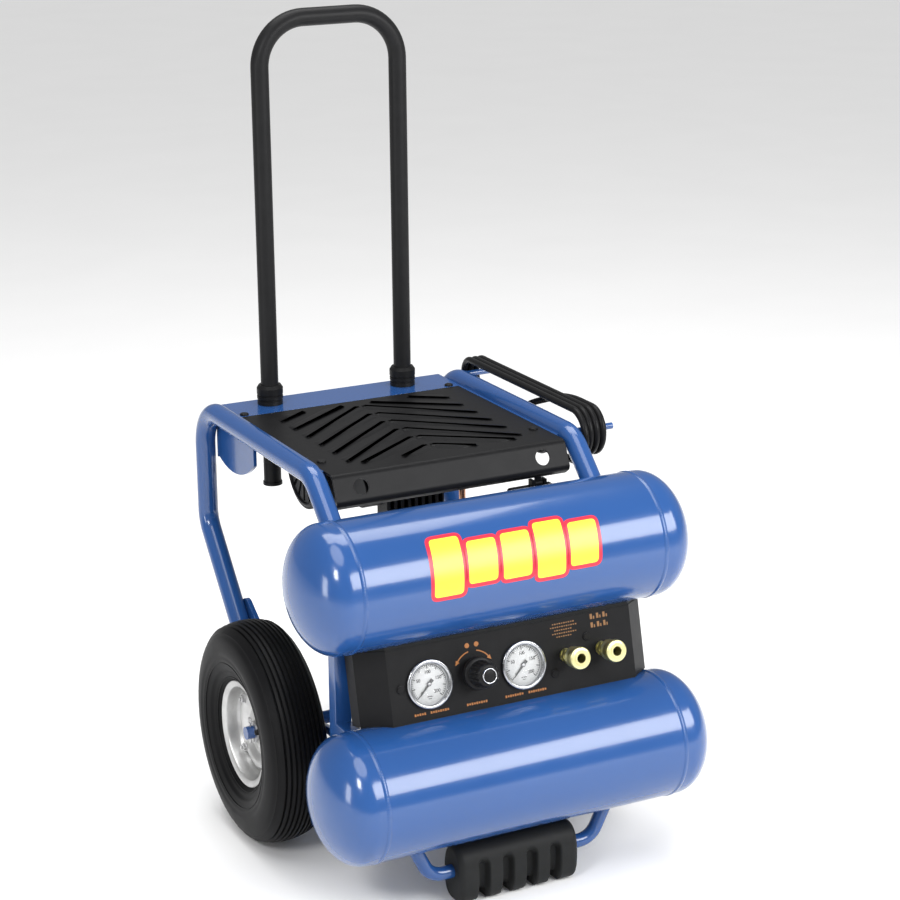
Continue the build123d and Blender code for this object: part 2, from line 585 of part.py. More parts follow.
lever = lever - rod("x", 1.56, SWITCH_X - 9, SWITCH_X + 9, (lever_y, lever_z))
save("switch_lever", lever)

safety = rod("y", 9, tank_face, -68, (SAFETY_X, UPPER_TANK_Z))
safety = safety + rod("y", 7, -68, -52, (SAFETY_X, UPPER_TANK_Z))
safety = safety - rod("y", 2.1, -66, -50, (SAFETY_X, UPPER_TANK_Z))
save("safety_valve", safety)
ring_stem = rod("y", 2.03, -60, -46, (SAFETY_X, UPPER_TANK_Z))
pull_ring = Pos(SAFETY_X, -37, UPPER_TANK_Z) * Rotation(0, 90, 0) * Torus(10, 1.4)
save("safety_ring", ring_stem + pull_ring)

# ---- drain cock --------------------------------------------------------------------------
drain_body = rod("z", 7, 64, drain_top + 4, (0, DRAIN_Y)) - coped_tanks
drain_body = drain_body - rod("z", 3, 60, drain_top + 6, (0, DRAIN_Y))
drain_body = drain_body + rod("y", 5, DRAIN_Y + 5, DRAIN_Y + 14, (0, 72))
drain_body = drain_body + rod("y", 2.0, DRAIN_Y + 14, DRAIN_Y + 20, (0, 72))
save("drain_valve", drain_body)
drain_handle = rod("y", 5, DRAIN_Y + 14.4, DRAIN_Y + 19, (0, 72))
drain_wing = block((-13, DRAIN_Y + 15, 70), (13, DRAIN_Y + 18, 74))
save("drain_handle", drain_handle + drain_wing - rod("y", 2.06, DRAIN_Y + 13, DRAIN_Y + 22, (0, 72)))

# ---- pump and motor under the deck -------------------------------------------------------
def about_shaft(radius, start, end):
    """Cylinder about the shaft axis between two X positions."""
    return rod("x", radius, start, end, (SHAFT_Y, SHAFT_Z))


CASE_LEFT = -30.0
CASE_RIGHT = 26.0
CASE_RADIUS = 46.0
CASE_BORE = 42.6
CRANKCASE_TOP = 483.2
FRONT_FACE = SHAFT_Y - CASE_RADIUS
crankcase = about_shaft(CASE_RADIUS, CASE_LEFT, CASE_RIGHT)
crankcase = crankcase + block(
    (CASE_LEFT, FRONT_FACE, SHAFT_Z - 38), (CASE_RIGHT, SHAFT_Y - 20, SHAFT_Z + 38)
)
crankcase = crankcase - about_shaft(CASE_BORE, CASE_LEFT + 5, CASE_RIGHT - 5)
crankcase = crankcase - rod("y", CYLINDER_BORE + 4.2, FRONT_FACE - 1, SHAFT_Y, (CRANK_X, SHAFT_Z))
crankcase = crankcase - about_shaft(SHAFT_RADIUS + 0.06, CASE_LEFT - 1, CASE_RIGHT + 1)
feet = block((CASE_LEFT, SHAFT_Y - 30, SHAFT_Z + 36), (CASE_RIGHT, SHAFT_Y + 30, CRANKCASE_TOP))
crankcase = crankcase + (feet - about_shaft(CASE_BORE, CASE_LEFT, CASE_RIGHT))
save("crankcase", crankcase)

barrel = rod("y", CYLINDER_BORE + 4, 36, FRONT_FACE + 8, (CRANK_X, SHAFT_Z))
fin_count = 7
for index in range(fin_count):
    fin_y = 38 + index * 8
    barrel = barrel + rod("y", 38, fin_y, fin_y + 2.5, (CRANK_X, SHAFT_Z))
barrel = barrel - rod("y", CYLINDER_BORE, 30, 110, (CRANK_X, SHAFT_Z))
save("cylinder", barrel)

head = block((CRANK_X - 38, 8, SHAFT_Z - 38), (CRANK_X + 38, 35.8, SHAFT_Z + 38))
for index in range(8):
    slot_x = CRANK_X - 33.6 + index * 9.2
    head = head - block((slot_x, 7, SHAFT_Z - 39), (slot_x + 5, 18, SHAFT_Z + 39))
BOLT_OFFSET = 31.0
bolt_places = [(dx, dz) for dx in (-BOLT_OFFSET, BOLT_OFFSET) for dz in (-BOLT_OFFSET, BOLT_OFFSET)]
for dx, dz in bolt_places:
    spot = (CRANK_X + dx, SHAFT_Z + dz)
    head = head + rod("y", 6, 8, 30, spot)
    head = head - rod("y", 3.2, 7, 40, spot)
head = head + rod("x", 7, CRANK_X + 37, HEAD_RIGHT_X, (22.0, SHAFT_Z))
head = head - block((CRANK_X - 18, 22, SHAFT_Z - 18), (CRANK_X + 18, 37, SHAFT_Z + 18))
save("cylinder_head", head)
head_bolts = []
for dx, dz in bolt_places:
    spot = (CRANK_X + dx, SHAFT_Z + dz)
    bolt_head = Pos(spot[0], 7.9, spot[1]) * Rotation(90, 0, 0) * extrude(RegularPolygon(5.6, 6), 4.5)
    head_bolts.append(bolt_head + rod("y", 3.0, 7.9, 36.5, spot))
save("head_bolts", Compound(children=head_bolts))

filter_x = CRANK_X - 38
intake_filter = rod("x", 21, filter_x - 30, filter_x - 4, (22.0, SHAFT_Z))
intake_filter = intake_filter + rod("x", 6, filter_x - 4, filter_x - 0.1, (22.0, SHAFT_Z))
save("intake_filter", intake_filter)

SHAFT_LEFT = -91.0
SHAFT_RIGHT = 136.0
MOTOR_LEFT = CASE_RIGHT + 0.2
MOTOR_RIGHT = 132.0
MOTOR_RADIUS = 50.0
crank = about_shaft(SHAFT_RADIUS, SHAFT_LEFT, SHAFT_RIGHT - 8)
eccentric = rod("x", ECCENTRIC_RADIUS, CRANK_X - 5, CRANK_X + 5, (SHAFT_Y, SHAFT_Z + CRANK_THROW))
crank = crank + eccentric + about_shaft(26.0, 48, 108)
save("rotor_and_crank", crank)

stator = about_shaft(45.5, 46, 110) - about_shaft(26.6, 40, 115)
save("stator", stator)
housing = about_shaft(MOTOR_RADIUS, MOTOR_LEFT, MOTOR_RIGHT)
housing = housing - about_shaft(45.6, MOTOR_LEFT + 4, MOTOR_RIGHT - 4)
housing = housing - about_shaft(SHAFT_RADIUS + 0.06, MOTOR_LEFT - 1, MOTOR_RIGHT - 2)
for index in range(10):
    vent_angle = index * 36
    vent = Rotation(vent_angle, 0, 0) * Pos(MOTOR_RIGHT, 0, 34) * Box(12, 5, 14)
    housing = housing - Pos(0, SHAFT_Y, SHAFT_Z) * vent
save("motor_housing", housing)

piston_front = 54.0
piston = rod("y", PISTON_RADIUS, piston_front, piston_front + 24, (CRANK_X, SHAFT_Z))
ring_outer = BIG_END_BORE + 2.2
conrod_back = SHAFT_Y - BIG_END_BORE - 1
conrod = block((CRANK_X - 4, piston_front + 20, SHAFT_Z - 8), (CRANK_X + 4, conrod_back, SHAFT_Z + 8))
big_end = about_shaft(ring_outer, CRANK_X - 4, CRANK_X + 4)
big_end = big_end - about_shaft(BIG_END_BORE, CRANK_X - 5, CRANK_X + 5)
save("piston_and_rod", piston + conrod + big_end)

GUARD_LEFT = -96.0
GUARD_RIGHT = -60.0
fan_middle = (GUARD_LEFT + GUARD_RIGHT) / 2
fan = about_shaft(14, fan_middle - 11, fan_middle + 11)
for index in range(6):
    blade = Pos(fan_middle, 0, 28) * Rotation(0, 0, 32) * Box(2, 22, 32)
    fan = fan + Pos(0, SHAFT_Y, SHAFT_Z) * Rotation(index * 60, 0, 0) * blade
fan = fan - about_shaft(SHAFT_RADIUS + 0.02, fan_middle - 20, fan_middle + 20)
save("fan", fan)

GUARD_RADIUS = 52.0
guard = about_shaft(GUARD_RADIUS, GUARD_LEFT, GUARD_RIGHT)
guard = guard - about_shaft(GUARD_RADIUS - 2.5, GUARD_LEFT + 2.5, GUARD_RIGHT + 10)
guard = guard - about_shaft(12, GUARD_LEFT - 2, GUARD_LEFT + 6)
slot_total = 16
for index in range(slot_total):
    opening = Rotation(index * 360 / slot_total, 0, 0) * Pos(GUARD_LEFT + 1, 0, 30) * Box(8, 5, 26)
    guard = guard - Pos(0, SHAFT_Y, SHAFT_Z) * opening
for index in range(4):
    arm = Rotation(45 + index * 90, 0, 0) * Pos(-45.5, 0, 47) * Box(30.6, 12, 4)
    guard = guard + Pos(0, SHAFT_Y, SHAFT_Z) * arm
save("fan_guard", guard)

# ---- power cord --------------------------------------------------------------------------
# The lead leaves the motor's right end, passes under the side tube and joins the hank.
RELIEF_START = MOTOR_RIGHT + 0.1
RELIEF_LENGTH = 22.0
LEAD_Y = 145.0
LEAD_Z = 390.0
relief = Pos(RELIEF_START + RELIEF_LENGTH / 2, LEAD_Y, LEAD_Z) * Rotation(0, 90, 0) * Cone(
    8.0, 5.4, RELIEF_LENGTH)
LEAD_EXIT_X = 148.0
relief = relief - rod("x", CORD / 2, LEAD_EXIT_X, 170, (LEAD_Y, LEAD_Z))
save("strain_relief", relief)

coil_width = COIL_TURNS * CORD + 1.0
coil_start = COIL_INNER_X - CORD / 2 - 0.5
coil_length = COIL_REAR_Y - COIL_FRONT_Y
outer_size = 2 * COIL_BEND + CORD + 0.6
inner_size = 2 * COIL_BEND - CORD - 0.6
coil_centre = (COIL_FRONT_Y + COIL_REAR_Y) / 2
ring = SlotOverall(coil_length + outer_size, outer_size) - SlotOverall(coil_length + inner_size, inner_size)
coil = extrude(Plane.YZ * Pos(coil_centre, COIL_Z) * ring, coil_width)
save("cord_coil", Pos(coil_start, 0, 0) * coil)

coil_bottom = COIL_Z - outer_size / 2
LEAD_ROUTE = [
    (LEAD_EXIT_X, LEAD_Y, LEAD_Z),
    (172.0, LEAD_Y, 390.0),
    (192.8, LEAD_Y, 402.0),
    (204.8, LEAD_Y, 422.8),
    (204.8, LEAD_Y, coil_bottom - 0.1),
]


def lead_radii(points):
    """Bend radius at each inner point: 0.45 of the shorter run over tan(half turn)."""
    radii = []
    for before, here, after in zip(points, points[1:], points[2:]):
        arriving = Vector(*here) - Vector(*before)
        leaving = Vector(*after) - Vector(*here)
        turn = radians(arriving.get_angle(leaving))
        shorter = min(arriving.length, leaving.length)
        radii.append(0.45 * shorter / tan(turn / 2))
    return radii


radii = lead_radii(LEAD_ROUTE)
lead = swept_tube(LEAD_ROUTE, radii, CORD)
print("lead bend radii", [round(value, 1) for value in radii])
turn_length = 2 * coil_length + 2 * pi * COIL_BEND
print("cord length in the hank", round(COIL_TURNS * turn_length))
save("cord_lead", lead)

# Moulded plug tucked under the hank.
plug_y = 78.0
plug_z = coil_bottom - 13.2
plug = rod("y", 13.0, plug_y - 18, plug_y + 18, (206.0, plug_z))
for blade_x in (199.0, 213.0):
    plug = plug + block((blade_x - 0.8, plug_y + 17, plug_z - 3), (blade_x + 0.8, plug_y + 35, plug_z + 3))
plug = plug + rod("y", 2.4, plug_y + 17, plug_y + 37, (206.0, plug_z - 8))
save("plug", plug)
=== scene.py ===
import bpy
import bmesh
import json
from math import atan2, cos, hypot, pi, radians, sin, tan
from mathutils import Matrix, Vector


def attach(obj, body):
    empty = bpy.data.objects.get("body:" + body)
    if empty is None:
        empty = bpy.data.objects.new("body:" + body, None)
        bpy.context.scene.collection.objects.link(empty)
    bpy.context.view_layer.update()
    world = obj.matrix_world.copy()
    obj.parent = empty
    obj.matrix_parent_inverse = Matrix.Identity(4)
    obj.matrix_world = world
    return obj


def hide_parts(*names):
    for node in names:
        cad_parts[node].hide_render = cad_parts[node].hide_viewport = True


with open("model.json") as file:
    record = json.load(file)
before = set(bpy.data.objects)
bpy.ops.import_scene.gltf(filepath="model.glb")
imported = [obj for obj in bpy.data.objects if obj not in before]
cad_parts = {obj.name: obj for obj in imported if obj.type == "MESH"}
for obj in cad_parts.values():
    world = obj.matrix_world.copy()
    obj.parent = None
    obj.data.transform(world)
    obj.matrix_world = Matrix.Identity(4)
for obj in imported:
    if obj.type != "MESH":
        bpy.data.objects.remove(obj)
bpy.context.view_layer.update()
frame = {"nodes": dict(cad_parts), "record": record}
MM = 0.001


# ---- camera, light and floor ---------------------------------------------------------
EYE = (-1.2261, -2.4830, 1.3103)
YAW, PITCH, ROLL = radians(26.92), radians(16.77), radians(-0.6)
SENSOR_WIDTH, LENS = 36.0, 97.29
SUBJECT = (0, 0, 0.35)
WORLD_STRENGTH = 0.34
SUN_STRENGTH = 1.3
# name, place, size and power in watts of each soft box
SOFT_BOXES = (
    ("key_light", (1.15, -2.0, 1.45), (1.9, 1.1), 62),
    ("top_light", (0.2, 0.8, 2.9), (2.2, 1.2), 42),
    ("window_light", (-1.9, -1.5, 1.9), (0.5, 0.7), 26),
    ("left_light", (-2.7, -0.5, 0.7), (0.5, 1.0), 12),
)


def place_camera():
    """Camera to the left of the control panel, looking slightly down."""
    forward = Vector((sin(YAW) * cos(PITCH), cos(YAW) * cos(PITCH), -sin(PITCH)))
    turn = forward.to_track_quat("-Z", "Y").to_matrix().to_4x4()
    data = bpy.data.cameras.new("studio_camera")
    data.sensor_width = SENSOR_WIDTH
    data.lens = LENS
    camera = bpy.data.objects.new("studio_camera", data)
    bpy.context.scene.collection.objects.link(camera)
    camera.matrix_world = Matrix.Translation(Vector(EYE)) @ turn @ Matrix.Rotation(ROLL, 4, "Z")
    bpy.context.scene.camera = camera


def area_light(name, place, size, power):
    """Rectangular soft box aimed at the middle of the machine."""
    data = bpy.data.lights.new(name, "AREA")
    data.shape = "RECTANGLE"
    data.size, data.size_y = size
    data.energy = power
    light = bpy.data.objects.new(name, data)
    bpy.context.scene.collection.objects.link(light)
    light.location = place
    light.rotation_euler = (Vector(SUBJECT) - Vector(place)).to_track_quat("-Z", "Y").to_euler()


def floor_sun():
    """Wide, weak sun that lifts the floor evenly."""
    sun = bpy.data.lights.new("floor_light", "SUN")
    sun.energy = SUN_STRENGTH
    sun.angle = radians(40)
    light = bpy.data.objects.new("floor_light", sun)
    bpy.context.scene.collection.objects.link(light)
    light.rotation_euler = (radians(12), radians(-10), 0)


def studio():
    """Camera, white surroundings, soft boxes and sun."""
    place_camera()
    world = bpy.data.worlds.new("studio_world")
    world.use_nodes = True
    backdrop = world.node_tree.nodes["Background"]
    backdrop.inputs["Color"].default_value = (1.0, 1.0, 1.0, 1)
    backdrop.inputs["Strength"].default_value = WORLD_STRENGTH
    bpy.context.scene.world = world
    bpy.context.scene.view_settings.view_transform = "Standard"
    for name, place, size, power in SOFT_BOXES:
        area_light(name, place, size, power)
    floor_sun()


studio()


# ---- node arithmetic -----------------------------------------------------------------
class Field:
    """A value that varies over a surface; arithmetic on it adds Math nodes."""

    def __init__(self, finish, socket):
        self.finish = finish
        self.socket = socket

    def math(self, operation, other):
        return self.finish.node("ShaderNodeMath", {"operation": operation}, {0: self, 1: other})

    def __add__(self, other):
        return self.math("ADD", other)

    def __radd__(self, other):
        return self.math("ADD", other)

    def __mul__(self, other):
        return self.math("MULTIPLY", other)

    def __rmul__(self, other):
        return self.math("MULTIPLY", other)

    def power(self, exponent):
        return self.math("POWER", exponent)


class Finish:
    """A material under construction: its nodes, and the shader they feed."""

    def __init__(self, name, **constants):
        self.material = bpy.data.materials.new(name)
        self.material.use_nodes = True
        self.tree = self.material.node_tree
        self.shader = self.tree.nodes["Principled BSDF"]
        for socket, value in constants.items():
            self.shader.inputs[socket.replace("_", " ")].default_value = value

    def node(self, kind, settings, sockets, output=0):
        """Add a node: its settings first, then the values or links of its sockets."""
        made = self.tree.nodes.new(kind)
        for setting, value in settings.items():
            setattr(made, setting, value)
        for socket, value in sockets.items():
            self.feed(made.inputs[socket], value)
        return Field(self, made.outputs[output])

    def feed(self, entry, value):
        if isinstance(value, Field):
            self.tree.links.new(value.socket, entry)
        else:
            entry.default_value = value

    def place(self):
        """Position on the piece, fixed to it as it moves."""
        return self.node("ShaderNodeTexCoord", {}, {}, "Object")

    def noise(self, scale, detail=3.0, roughness=0.5, stretch=None):
        where = self.place()
        if stretch:
            where = self.node("ShaderNodeMapping", {}, {"Vector": where, "Scale": stretch})
        sockets = {"Vector": where, "Scale": scale, "Detail": detail, "Roughness": roughness}
        return self.node("ShaderNodeTexNoise", {}, sockets, "Fac")

    def blend(self, factor, first, second):
        """Colour between first and second; the Mix node's colours are its sockets 6 and 7."""
        sockets = {"Factor": factor, 6: (*first, 1), 7: (*second, 1)}
        return self.node("ShaderNodeMix", {"data_type": "RGBA"}, sockets, 2)

    def spread(self, field, low, high):
        """Map the 0..1 field onto low..high."""
        return field * (high - low) + low

    def set(self, socket, value):
        self.feed(self.shader.inputs[socket], value)

    def bump(self, height, strength, distance=0.0005):
        sockets = {"Height": height, "Strength": strength, "Distance": distance}
        self.set("Normal", self.node("ShaderNodeBump", {}, sockets))

    def done(self):
        return self.material


# ---- finishes ------------------------------------------------------------------------
def enamel(name, light, dark, roughness, peel):
    """Sprayed gloss enamel: slight shade drift, orange peel, a few duller patches."""
    paint = Finish(name, Coat_Weight=0.35, Coat_Roughness=0.06)
    drift = paint.noise(7.0, 3.0)
    paint.set("Base Color", paint.blend(drift, dark, light))
    dull = paint.noise(26.0, 5.0, 0.6)
    paint.set("Roughness", paint.spread(dull, roughness - 0.05, roughness + 0.10))
    paint.bump(paint.noise(420.0, 2.0) + paint.noise(90.0, 2.0) * 0.6, peel, 0.0004)
    return paint.done()


def powder_coat(name, colour, roughness, grain):
    """Powder coat or moulded plastic: fine grain with faint handling marks."""
    coat = Finish(name, Specular_IOR_Level=0.12)
    marks = coat.noise(55.0, 6.0, 0.65)
    lifted = tuple(value * 1.4 + 0.002 for value in colour)
    coat.set("Base Color", coat.blend(marks, colour, lifted))
    coat.set("Roughness", coat.spread(marks, roughness - 0.06, roughness + 0.10))
    coat.bump(coat.noise(1400.0, 2.0), grain, 0.0003)
    return coat.done()


def bare_metal(name, light, dark, roughness, stretch, scratch):
    """Plated or brushed metal: drawn grain along one way, smudged gloss."""
    metal = Finish(name, Metallic=1.0)
    smudge = metal.noise(60.0, 4.0, 0.6)
    metal.set("Base Color", metal.blend(smudge, dark, light))
    grain = metal.noise(500.0, 3.0, 0.6, stretch)
    metal.set("Roughness", metal.spread(grain, roughness - 0.08, roughness + 0.12))
    metal.bump(grain, scratch, 0.0002)
    return metal.done()


def soft_rubber(name, colour, roughness, grain):
    """Rubber or cord jacket with bloom, dust and a fine moulded grain."""
    rubber = Finish(name, Specular_IOR_Level=0.10)
    dust = rubber.noise(35.0, 6.0, 0.7)
    bloom = tuple(value * 1.6 + 0.003 for value in colour)
    rubber.set("Base Color", rubber.blend(dust.power(2.0), colour, bloom))
    rubber.set("Roughness", rubber.spread(dust, roughness - 0.05, roughness + 0.12))
    rubber.bump(rubber.noise(900.0, 3.0), grain, 0.0004)
    return rubber.done()


def cast_metal(name, light, dark):
    """Sand-cast aluminium: coarse skin, blotchy shade."""
    cast = Finish(name, Metallic=0.85)
    blotch = cast.noise(45.0, 6.0, 0.6)
    cast.set("Base Color", cast.blend(blotch, dark, light))
    cast.set("Roughness", cast.spread(blotch, 0.42, 0.62))
    cast.bump(cast.noise(650.0, 4.0, 0.7), 0.5, 0.0006)
    return cast.done()


def printed_ink(name, colour, roughness=0.5):
    """Screen-printed ink: slightly uneven cover."""
    ink = Finish(name)
    cover = ink.noise(380.0, 3.0)
    thin = tuple(value * 0.82 for value in colour)
    ink.set("Base Color", ink.blend(cover, colour, thin))
    ink.set("Roughness", ink.spread(cover, roughness - 0.08, roughness + 0.08))
    return ink.done()


def clear_cover(name):
    """Gauge window: mostly see-through with a faint haze."""
    cover = Finish(name, Coat_Weight=0.2, Coat_Roughness=0.03)
    haze = cover.noise(120.0, 3.0)
    cover.set("Base Color", cover.blend(haze, (0.9, 0.93, 0.95), (1.0, 1.0, 1.0)))
    cover.set("Alpha", cover.spread(haze, 0.03, 0.06))
    cover.set("Roughness", cover.spread(haze, 0.03, 0.08))
    return cover.done()


BLUE = enamel("blue_enamel", (0.019, 0.078, 0.255), (0.016, 0.067, 0.226), 0.15, 0.02)
BLACK_TUBE = powder_coat("black_tube_coat", (0.010, 0.010, 0.0105), 0.38, 0.10)
BLACK_DECK = powder_coat("black_deck_coat", (0.006, 0.006, 0.0065), 0.40, 0.16)
BLACK_PANEL = powder_coat("black_panel_coat", (0.0075, 0.0075, 0.008), 0.42, 0.12)
BLACK_PLASTIC = powder_coat("black_moulded_plastic", (0.008, 0.008, 0.0085), 0.36, 0.12)
ZINC = bare_metal("zinc_plate", (0.70, 0.70, 0.69), (0.44, 0.44, 0.44), 0.38, (1, 1, 1), 0.16)
CHROME = bare_metal("bright_chrome", (0.86, 0.87, 0.88), (0.74, 0.75, 0.77), 0.14, (1, 1, 1), 0.03)
STEEL = bare_metal("drawn_steel", (0.62, 0.62, 0.62), (0.42, 0.42, 0.43), 0.34, (1, 12, 12), 0.14)
BRASS = bare_metal("yellow_brass", (0.84, 0.80, 0.42), (0.70, 0.64, 0.30), 0.34, (1, 1, 1), 0.08)
COPPER = bare_metal("copper_tube", (0.72, 0.40, 0.26), (0.50, 0.25, 0.15), 0.34, (1, 1, 1), 0.08)
TYRE = soft_rubber("tyre_rubber", (0.004, 0.004, 0.0045), 0.42, 0.16)
FOOT_RUBBER = soft_rubber("foot_rubber", (0.015, 0.0155, 0.0155), 0.45, 0.25)
JACKET = soft_rubber("cord_jacket", (0.008, 0.008, 0.0085), 0.30, 0.06)
CAST = cast_metal("cast_aluminium", (0.58, 0.58, 0.57), (0.36, 0.36, 0.36))
DARK_CAST = cast_metal("blackened_casting", (0.035, 0.035, 0.036), (0.014, 0.014, 0.015))
IRON = cast_metal("laminated_iron", (0.20, 0.19, 0.18), (0.08, 0.08, 0.08))
BEZEL = bare_metal("bezel_steel", (0.50, 0.51, 0.53), (0.36, 0.37, 0.39), 0.22, (1, 1, 1), 0.05)
CLEAR = clear_cover("clear_window")
WHITE_FACE = printed_ink("dial_white", (0.56, 0.57, 0.57), 0.5)
BLACK_INK = printed_ink("black_ink", (0.015, 0.015, 0.015))
YELLOW_INK = printed_ink("yellow_stripe", (0.90, 0.86, 0.05), 0.34)
RED_INK = printed_ink("red_stripe", (0.70, 0.02, 0.05), 0.34)
ORANGE_INK = printed_ink("orange_ink", (0.36, 0.13, 0.025), 0.5)
PALE_INK = printed_ink("pale_ink", (0.26, 0.12, 0.035), 0.5)
# near-black lining for the coupler bores: painted shade inside the holes
PAINTED_SHADE_BORE = powder_coat("painted_shade_bore", (0.006, 0.006, 0.006), 0.35, 0.10)

# ---- shape helpers -------------------------------------------------------------------


def add_piece(name, mesh, finish, body, *replaced):
    """Link a finished mesh or curve, give it its material and its place in the frame."""
    piece = bpy.data.objects.new(name, mesh)
    bpy.context.scene.collection.objects.link(piece)
    mesh.materials.append(finish)
    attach(piece, body)
    if replaced:
        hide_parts(*replaced)
    return piece


def solid_mesh(name, vertices, faces, smooth=True):
    """Mesh from points and faces, with its normals turned outward."""
    mesh = bpy.data.meshes.new(name)
    mesh.from_pydata([tuple(v) for v in vertices], [], faces)
    mesh.validate()
    shape = bmesh.new()
    shape.from_mesh(mesh)
    bmesh.ops.recalc_face_normals(shape, faces=shape.faces)
    shape.to_mesh(mesh)
    shape.free()
    if smooth:
        mesh.shade_smooth()
    return mesh


def lathe(name, outline, centre, axis, segments=96, closed=False):
    """Turn (offset along the axis, radius) points about an axis through centre."""
    axis = Vector(axis).normalized()
    side = axis.orthogonal().normalized()
    other = axis.cross(side)
    vertices = []
    rings = []
    for offset, radius in outline:
        middle = Vector(centre) + axis * offset
        if radius < 1e-7:
            rings.append([len(vertices)] * segments)
            vertices.append(middle)
            continue
        rings.append(list(range(len(vertices), len(vertices) + segments)))
        for step in range(segments):
            angle = 2 * pi * step / segments
            vertices.append(middle + (side * cos(angle) + other * sin(angle)) * radius)
    pairs = list(zip(rings, rings[1:]))
    if closed:
        pairs.append((rings[-1], rings[0]))
    faces = []
    for lower, upper in pairs:
        for step in range(segments):
            ahead = (step + 1) % segments
            corners = [lower[step], lower[ahead], upper[ahead], upper[step]]
            faces.append(list(dict.fromkeys(corners)))
    return solid_mesh(name, vertices, faces)


def in_metres(outline):
    """Lathe outline in millimetres, turned to metres."""
    return [(offset * MM, radius * MM) for offset, radius in outline]


def rounded(points, radius, steps=5):
    """Replace each corner of a closed outline by an arc, as a press tool would."""
    result = []
    count = len(points)
    for index, corner in enumerate(points):
        here = Vector(corner)
        before = Vector(points[index - 1]) - here
        after = Vector(points[(index + 1) % count]) - here
        reach = min(radius, before.length * 0.49, after.length * 0.49)
        start = here + before.normalized() * reach
        end = here + after.normalized() * reach
        for step in range(steps + 1):
            t = step / steps
            result.append(start.lerp(here, t).lerp(here.lerp(end, t), t))
    return result


def weld_ring(name, centre, radius, width, proud):
    """Girth weld about an X axis: a low bead with the overlapping ripples of the run."""
    segments = WELD_RIPPLES * 4
    buried = 0.2 * MM
    vertices = []
    profile = [(-0.5, 0.0), (-0.3, 0.7), (0.0, 1.0), (0.3, 0.7), (0.5, 0.0)]
    for step in range(segments):
        angle = 2 * pi * step / segments
        swell = 1.0 + 0.16 * sin(WELD_RIPPLES * angle)
        for across, rise in profile:
            lag = 0.07 * width * (1 - rise) * cos(WELD_RIPPLES * angle)
            reach = radius - buried + proud * rise * swell
            vertices.append((centre[0] + across * width + lag,
                             centre[1] + reach * cos(angle), centre[2] + reach * sin(angle)))
    count = len(profile)
    faces = []
    for step in range(segments):
        ahead = (step + 1) % segments
        for part in range(count - 1):
            faces.append((step * count + part, step * count + part + 1,
                          ahead * count + part + 1, ahead * count + part))
    return solid_mesh(name, vertices, faces)


def flat_plate(name, outlines, place, thickness, edge=0.0):
    """Thin raised shapes: each outline (x, y in mm) is placed by place(x, y, height)."""
    shape = bmesh.new()
    for outline in outlines:
        corners = [shape.verts.new((x, y, 0)) for x, y in outline]
        face = shape.faces.new(corners)
        face.normal_update()
        if face.normal.z < 0:
            face.normal_flip()
        if edge:
            bmesh.ops.inset_individual(shape, faces=[face], thickness=edge, depth=0)
        for vertex in face.verts:
            vertex.co.z = thickness
    for vertex in shape.verts:
        vertex.co = place(vertex.co.x, vertex.co.y, vertex.co.z)
    mesh = bpy.data.meshes.new(name)
    shape.to_mesh(mesh)
    shape.free()
    return mesh


def arc_points(x, y, radius, start, end, steps):
    """Points along a circular arc, both ends included."""
    angles = [start + (end - start) * i / steps for i in range(steps + 1)]
    return [(x + radius * cos(angle), y + radius * sin(angle)) for angle in angles]


def circle_points(x, y, radius, count):
    """Corners of a round outline."""
    return arc_points(x, y, radius, 0.0, 2 * pi, count)[:-1]


def bar(x, y, length, width):
    """Outline of a level bar centred on x, y."""
    return [(x - length / 2, y - width / 2), (x + length / 2, y - width / 2),
            (x + length / 2, y + width / 2), (x - length / 2, y + width / 2)]


# ---- machine dimensions, in millimetres ----------------------------------------------
SHARP_CORNER = radians(35)
TANK_RADIUS = 75.0
SEAM_X = 191.0
WELD_RIPPLES = 150
WELD_WIDTH, WELD_PROUD = 5.5, 0.9
TANKS = {"upper": (-165.1, 388.0), "lower": (-215.1, 155.0)}
DECK_Z = 486.0
WHEEL_X, WHEEL_Y, WHEEL_Z = 198.0, 54.0, 136.0
PANEL_TILT = radians(13.0)
PANEL_Y, PANEL_Z = -205.0, 271.2
GAUGES = {"tank": -99.0, "outlet": 21.6}
GAUGE_V = -1.0
KNOB_X, KNOB_V = -41.0, 2.0
COUPLERS = {1: 78.0, 2: 125.5}
COUPLER_V = 0.3
CORD = 8.5


def panel_point(x, v, height):
    """Point on the tilted panel: x along it, v up it, height in front of it."""
    return Vector((x, PANEL_Y + v * sin(PANEL_TILT) - height * cos(PANEL_TILT),
                   PANEL_Z + v * cos(PANEL_TILT) + height * sin(PANEL_TILT))) * MM


PANEL_OUT = (panel_point(0, 0, 1) - panel_point(0, 0, 0)).normalized()
PANEL_UP = (panel_point(0, 1, 0) - panel_point(0, 0, 0)).normalized()


def panel_lathe(name, x, v, outline, segments=96):
    """Turned piece square to the panel: outline is (height, radius) in mm."""
    return lathe(name, in_metres(outline), panel_point(x, v, 0), PANEL_OUT, segments)


# ---- frame, tanks and tubes ----------------------------------------------------------
def body_of(node):
    """Body that a node belongs to in the frame's record."""
    for body, members in frame["record"]["behaviour"]["bodies"].items():
        if node in members:
            return body
    return "frame"


def slot_of(node):
    """Material slot that the record gives a node."""
    for part in frame["record"]["subparts"]:
        if part["node"] == node:
            return part["material_slot"]


def refinish(node, finish, corner=30):
    """Keep the CAD piece, with smooth shading up to corner degrees and its own material."""
    mesh = frame["nodes"][node].data
    mesh.materials.clear()
    mesh.materials.append(finish)
    mesh.shade_smooth()
    mesh.set_sharp_from_angle(angle=radians(corner))


